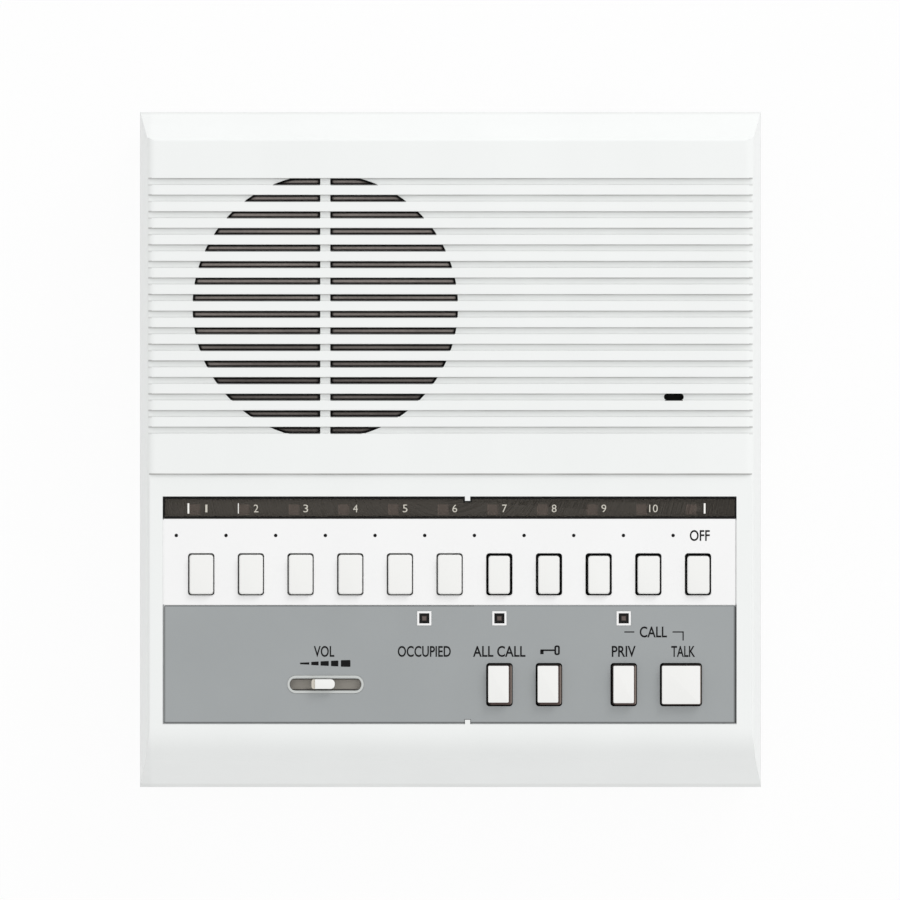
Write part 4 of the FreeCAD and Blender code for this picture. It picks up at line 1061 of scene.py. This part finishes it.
class LampFilters(bpy.types.Operator):
    """Models the tinted filters in the card's lamp windows"""
    bl_idname = "intercom.lamp_filters"
    bl_label = "Lamp filters"

    def execute(self, context):
        finish = card_finish(context.scene.intercom_panel.card_colour)
        middle = Vector((centre_of("station_key_1").x - LAMP_FROM_KEY,
                         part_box("control_panel")[1].y - STRIP_DEPTH / 2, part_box("name_card")[1].z - 0.085 * MM))
        half = Vector((1.59, 1.99, 0.08)) * MM
        first = block("lamp_filter", middle - half, middle + half)
        rounded(first, upright, 0.02 * MM, 2)
        fitted(at_every_key("lamp_filters", first), "case", finish, "card")
        return {"FINISHED"}


class InsideFinishes(bpy.types.Operator):
    """Gives the loudspeaker, the boards and the switches their finishes"""
    bl_idname = "intercom.inside_finishes"
    bl_label = "Inside finishes"

    def execute(self, context):
        wear(cloth_finish(), "speaker_cloth")
        wear(foam_finish(), "speaker_gasket")
        wear(metal_finish("basket_steel", paint(170, 170, 166), 0.3, "y"), "speaker_frame")
        wear(cone_finish(), "speaker_cone")
        wear(ferrite_finish(), "speaker_magnet")
        wear(metal_finish("yoke_steel", paint(180, 178, 168), 0.28), "speaker_yoke")
        wear(capsule_finish(), "microphone")
        wear(board_finish(), "main_board", "terminal_board")
        wear(transformer_finish(), "transformer")
        wear(moulded("chip_resin", paint(30, 30, 31), 0.15 * MM, 0.01 * MM, 0.6), "chips")
        wear(can_finish(), "capacitors")
        switch = moulded("switch_moulding", paint(32, 32, 34), 0.25 * MM, 0.008 * MM, 0.45)
        wear(switch, "selector_switches", "function_switches", "volume_pot")
        wear(metal_finish("bar_steel", paint(184, 184, 180), 0.26), "interlock_bar")
        # the frame shows through the gaps: bare under the snug keys, painted black under the looser ones as painted
        # shade in their gaps
        frame = metal_finish("frame_steel_painted_shade", paint(184, 184, 180), 0.26)
        tinted(frame, (frame.place[0] > first_loose()) * 0.97, BLACK)
        wear(frame, "switch_frame")
        wear(moulded("terminal_moulding", paint(212, 206, 184), 0.3 * MM, 0.01 * MM, 0.5), "terminal_blocks")
        wear(metal_finish("terminal_plating", paint(206, 196, 160), 0.25), "terminal_screws")
        stem = moulded("stem_moulding", paint(222, 218, 204), 0.25 * MM, 0.006 * MM, 0.4)
        wear(stem, "off_stem", *[f"station_stem_{index}" for index in range(1, 11)])
        return {"FINISHED"}


class StationKeys(bpy.types.Operator):
    """Models the station caps: snug ones up to 6, three looser fits from 7 on, and the off key last"""
    bl_idname = "intercom.station_keys"
    bl_label = "Station keys"

    def execute(self, context):
        settings = context.scene.intercom_keys
        finish = moulded("key_moulding", settings.cap_colour, 0.22 * MM, 0.004 * MM, 0.34)
        margins = {1: (0, -0.1, 0.22, 0.05), 7: (0.34, 0.4, 0.33, 0.42), 9: (0.45, 0.24, 0.33, 0.44),
                   10: (0.34, 0.1, 0.33, 0.47)}
        for index in range(1, KEY_COUNT + 1):
            node = key_node(index)
            name = node.replace("key", "cap")
            body = "off" if index == KEY_COUNT else f"station_{index}"
            if index in margins:
                first, start = key_cap(name, node, settings, *margins[index]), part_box(node)[0]
                cap = first
            else:
                cap = copied(first, name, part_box(node)[0] - start)
            fitted(cap, body, finish, "key_plastic", node)
        return {"FINISHED"}


class FunctionKeys(bpy.types.Operator):
    """Models the four function keys: brown plungers with white heads"""
    bl_idname = "intercom.function_keys"
    bl_label = "Function keys"

    def execute(self, context):
        settings = context.scene.intercom_keys
        white = moulded("head_moulding", settings.cap_colour, 0.22 * MM, 0.004 * MM, 0.34)
        brown = plunger_finish(settings.plunger_colour)
        margins = ((0.2, 0.85, 0.78, 0.47), (0.17, 0.85, 0.78, 0.47),
                   (0.5, 0.55, 0.6, 0.47), (0.22, 0.14, 0.3, 0.45))
        for body, sides in zip(FUNCTION_KEYS, margins):
            node = body + "_key"
            fitted(self.plunger(body + "_plunger", node, settings), body, brown, "switch_plastic")
            fitted(self.head(body + "_head", node, settings, *sides), body, white, "key_plastic", node)
        return {"FINISHED"}

    def plunger(self, name, node, settings):
        """Hollow skirt with a stem in its middle."""
        low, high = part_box(node)
        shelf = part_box("control_panel")[1].z - VOLUME_RIM_RISE + settings.shelf_rise
        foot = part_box("station_key_1")[0].z
        skirt = block(name, (low.x, low.y, foot), (high.x + settings.plunger_side, high.y, shelf))
        rounded(skirt, upright, settings.corner_radius, 5)
        hollowed(skirt, settings.cap_wall, shelf - 0.8 * MM - foot)
        middle = (low + high) / 2
        stem = block(name, (middle.x - 1.6 * MM, middle.y - 2.1 * MM, low.z),
                     (middle.x + 1.6 * MM, middle.y + 2.1 * MM, shelf - 0.4 * MM))
        rounded(stem, upright, 0.3 * MM, 2)
        return smooth(merged(name, [skirt, stem]))

    def head(self, name, node, settings, *margins):
        """White head on the plunger's shelf, with crisp corners and a soft top edge."""
        low, high = set_in(node, *margins)
        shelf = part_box("control_panel")[1].z - VOLUME_RIM_RISE + settings.shelf_rise
        head = block(name, (low.x, low.y, shelf - 0.3 * MM), high)
        rounded(head, upright, settings.head_corner, 4)
        rounded(head, at_height(high.z), settings.head_edge, 3)
        return smooth(head)


class VolumeKnob(bpy.types.Operator):
    """Models the slide knob of the volume control"""
    bl_idname = "intercom.volume_knob"
    bl_label = "Volume knob"

    def execute(self, context):
        settings = context.scene.intercom_keys
        finish = moulded("knob_moulding", settings.cap_colour, 0.2 * MM, 0.004 * MM, 0.32)
        x, y, z = finish.place
        low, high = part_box("volume_knob")
        shoulder = (x < low.x + settings.knob_shoulder) * (z < high.z - settings.knob_step * 0.6)
        tinted(finish, shoulder * 0.8, paint(196, 188, 172))
        fitted(slider_knob("slider_knob", settings), "volume", finish, "key_plastic", "volume_knob")
        return {"FINISHED"}


class PanelPrint(bpy.types.Operator):
    """Prints the words and marks on the white plate and the grey sheet"""
    bl_idname = "intercom.panel_print"
    bl_label = "Panel print"

    def execute(self, context):
        settings = context.scene.intercom_print
        ink = ink_finish("panel_ink", context.scene.intercom_panel.ink_colour)
        level = face_level() + settings.ink_height / 2
        middle = {name: centre_of(name + "_key") for name in ("off", *FUNCTION_KEYS)}
        row = middle["all_call"].y + WORD_ROW
        high_row = row + BRACKET_ROW
        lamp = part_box("status_lamps")[0].x + STATUS_LAMP_HALF
        words = (
            ("off", "OFF", middle["off"].x + 0.6 * MM, middle["off"].y + 13.3 * MM, 6.8),
            ("volume", "VOL", volume_place().x - 0.5 * MM, row, 6.95),
            ("occupied", "OCCUPIED", lamp, row, 18.0),
            ("all_call", "ALL CALL", middle["all_call"].x - 0.05 * MM, row, 17.8),
            ("privacy", "PRIV", middle["privacy"].x, row, 8.1),
            ("talk", "TALK", middle["talk"].x + 0.77 * MM, row, 8.1),
            ("call", "CALL", (middle["privacy"].x + middle["talk"].x) / 2 + 0.35 * MM, high_row, 9.25),
        )
        for name, text, x, y, width in words:
            made = printed(f"word_{name}", text, (x, y), width * MM, settings.word_height, level, settings, 0.022)
            fitted(made, "case", ink, "switch_plastic")
        self.marks(settings, ink, level, middle, row, high_row)
        return {"FINISHED"}

    def marks(self, settings, ink, level, middle, row, high_row):
        """Station dots, volume wedge, bracket round the word over the last two keys, and the key mark."""
        key = centre_of("station_key_1")
        only()
        bpy.ops.mesh.primitive_cylinder_add(vertices=20, radius=settings.dot_radius, depth=settings.ink_height,
                                            location=(key.x - 8.45 * MM, key.y + 13.33 * MM, level))
        bpy.ops.object.transform_apply(location=True, rotation=True, scale=True)
        dots = [bpy.context.object]
        rounded(dots[0], lambda a, b: a.z > level and b.z > level, settings.ink_height / 3, 2)
        for index in range(1, KEY_COUNT):
            dots.append(copied(dots[0], f"dot_{index}", (index * key_pitch(), 0, 0)))
        fitted(merged("station_dots", dots), "case", ink, "switch_plastic")
        place = (volume_place().x - 8.65 * MM, row - 4.08 * MM, level)
        wedge = [printed_bar(place, (x0, x1, -tall / 2, tall / 2), settings, narrow)
                 for x0, x1, tall, narrow in ((0, 3.15, 0.8, 0.7), (3.8, 6.3, 1.35, 0.8), (6.95, 9.75, 1.7, 0.85),
                                              (10.5, 13.0, 2.0, 0.92), (13.85, 17.1, 2.35, 0.95))]
        fitted(merged("volume_wedge", wedge), "case", ink, "switch_plastic")
        half = settings.line_width / MM / 2
        left = (middle["privacy"].x + 0.2 * MM, high_row, level)
        right = (middle["talk"].x + 0.95 * MM, high_row, level)
        lines = [printed_bar(place, sides, settings)
                 for place, sides in ((left, (0, 3.4, -half, half)), (right, (-3.8, 0, -half, half)),
                                      (right, (-2 * half, 0, -2.9, half)))]
        fitted(merged("call_bracket", lines), "case", ink, "switch_plastic")
        place = (middle["door"].x + 0.3 * MM, row + 0.4 * MM, level)
        fitted(self.key_mark(settings, place), "case", ink, "switch_plastic")

    def key_mark(self, settings, place):
        """A small key: oval bow on the right, shaft, and one bit on the left."""
        half = settings.line_width * 1.4 / MM / 2
        ink = settings.ink_height / MM / 2
        bow = block("bow", Vector((1.55, -1.65, -ink)) * MM + Vector(place),
                    Vector((3.4, 1.65, ink)) * MM + Vector(place))
        rounded(bow, upright, 0.7 * MM, 4)
        opened(bow, 0.6 * MM)
        shaft = printed_bar(place, (-3.2, 1.7, -half, half), settings)
        bit = printed_bar(place, (-3.25, -2.1, -1.35, 0), settings)
        return merged("key_mark", [bow, shaft, bit])


class StripPrint(bpy.types.Operator):
    """Prints the station numbers and ticks on the smoked strip"""
    bl_idname = "intercom.strip_print"
    bl_label = "Strip print"

    def execute(self, context):
        settings = context.scene.intercom_print
        ink = ink_finish("strip_ink", context.scene.intercom_panel.number_colour)
        bright = ink_finish("tick_ink", paint(246, 245, 240))
        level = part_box("name_window")[1].z + settings.ink_height / 2
        y = centre_of("name_window").y - 0.13 * MM
        for index in range(1, KEY_COUNT):
            x = centre_of(key_node(index)).x + 1.75 * MM
            width = (2.9 if index == 10 else 0.7 if index == 1 else 1.6) * MM
            made = printed(f"number_{index}", str(index), (x, y), width, settings.number_height, level, settings,
                           -0.004)
            fitted(made, "case", ink, "card")
        first = centre_of("station_key_1")
        last = centre_of("off_key")
        places = ((first.x - 4.35 * MM, 0.6), (first.x + 12.6 * MM, 0.3), (last.x + 2.25 * MM, 0.6))
        ticks = [printed_bar((x, y, level), (-wide / 2, wide / 2, -1.75, 1.75), settings) for x, wide in places]
        fitted(merged("strip_ticks", ticks), "case", bright, "card")
        return {"FINISHED"}


class Stage(bpy.types.Operator):
    """Sets up the floor, the lamps, the sky and the camera"""
    bl_idname = "intercom.stage"
    bl_label = "Stage"

    def execute(self, context):
        settings = context.scene.intercom_stage
        self.floor(settings)
        self.sky(context, settings)
        bpy.ops.object.light_add(type="AREA", location=(0.8, 1.35, 1.15))
        softbox = context.object
        softbox.name = "softbox"
        softbox.data.shape = "RECTANGLE"
        softbox.data.size = 1.0
        softbox.data.size_y = 0.8
        softbox.data.energy = settings.softbox_power
        softbox.rotation_euler = (Vector((0, 0, 0)) - softbox.location).to_track_quat("-Z", "Y").to_euler()
        self.camera(context, settings)
        context.scene.view_settings.view_transform = "Standard"
        return {"FINISHED"}

    def floor(self, settings):
        """A wide floor just under the feet."""
        only()
        bpy.ops.mesh.primitive_plane_add(size=8, location=(0, 0, -0.05 * MM))
        floor = bpy.context.object
        floor.name = "floor"
        bpy.ops.object.mode_set(mode="EDIT")
        bpy.ops.mesh.subdivide(number_cuts=3)
        bpy.ops.object.mode_set(mode="OBJECT")
        wear(floor_finish(settings), "floor")

    def sky(self, context, settings):
        """Even light, seen as white by the camera and in reflections."""
        world = context.scene.world = bpy.data.worlds.new("studio")
        studio = Tree(world)
        background = studio.tree.nodes["Background"]
        studio.feed(background.inputs["Color"], (1, 1, 1, 1))
        studio.feed(background.inputs["Strength"], studio.seen() * (1 - settings.sky) + settings.sky)

    def camera(self, context, settings):
        """A long lens straight above the face, with the far edge at the top of the picture."""
        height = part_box("front_cover")[1].z + settings.camera_height
        bpy.ops.object.camera_add(location=(-settings.view_shift, -settings.view_shift, height))
        camera = context.object
        camera.name = "camera"
        camera.data.sensor_width = SENSOR_WIDTH
        camera.data.lens = SENSOR_WIDTH * settings.camera_height / settings.view_width
        camera.data.clip_end = 50
        context.scene.camera = camera


STEPS = (CaseFinishes, PanelFinishes, PanelSeals, OpeningLiners, LampFilters, InsideFinishes, StationKeys,
         FunctionKeys, VolumeKnob, PanelPrint, StripPrint, Stage)


class IntercomPanel(bpy.types.Panel):
    """Settings and steps of the intercom"""
    bl_idname = "VIEW3D_PT_intercom"
    bl_label = "Intercom"
    bl_space_type = "VIEW_3D"
    bl_region_type = "UI"
    bl_category = "Intercom"

    def draw(self, context):
        for name, group in SETTINGS.items():
            box = self.layout.box()
            for setting in group.__annotations__:
                box.prop(getattr(context.scene, name), setting)
        for step in STEPS:
            self.layout.operator(step.bl_idname)


def register():
    for kind in (*SETTINGS.values(), *STEPS, IntercomPanel):
        bpy.utils.register_class(kind)
    for name, group in SETTINGS.items():
        setattr(bpy.types.Scene, name, bpy.props.PointerProperty(type=group))


def unregister():
    for name in SETTINGS:
        delattr(bpy.types.Scene, name)
    for kind in (IntercomPanel, *reversed(STEPS), *reversed(SETTINGS.values())):
        bpy.utils.unregister_class(kind)


def main():
    """Dresses the loaded intercom."""
    register()
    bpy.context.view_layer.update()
    bpy.ops.intercom.case_finishes()
    bpy.ops.intercom.panel_finishes()
    bpy.ops.intercom.panel_seals()
    bpy.ops.intercom.opening_liners()
    bpy.ops.intercom.lamp_filters()
    bpy.ops.intercom.inside_finishes()
    bpy.ops.intercom.station_keys()
    bpy.ops.intercom.function_keys()
    bpy.ops.intercom.volume_knob()
    bpy.ops.intercom.panel_print()
    bpy.ops.intercom.strip_print()
    bpy.ops.intercom.stage()


if __name__ == "__main__":
    main()
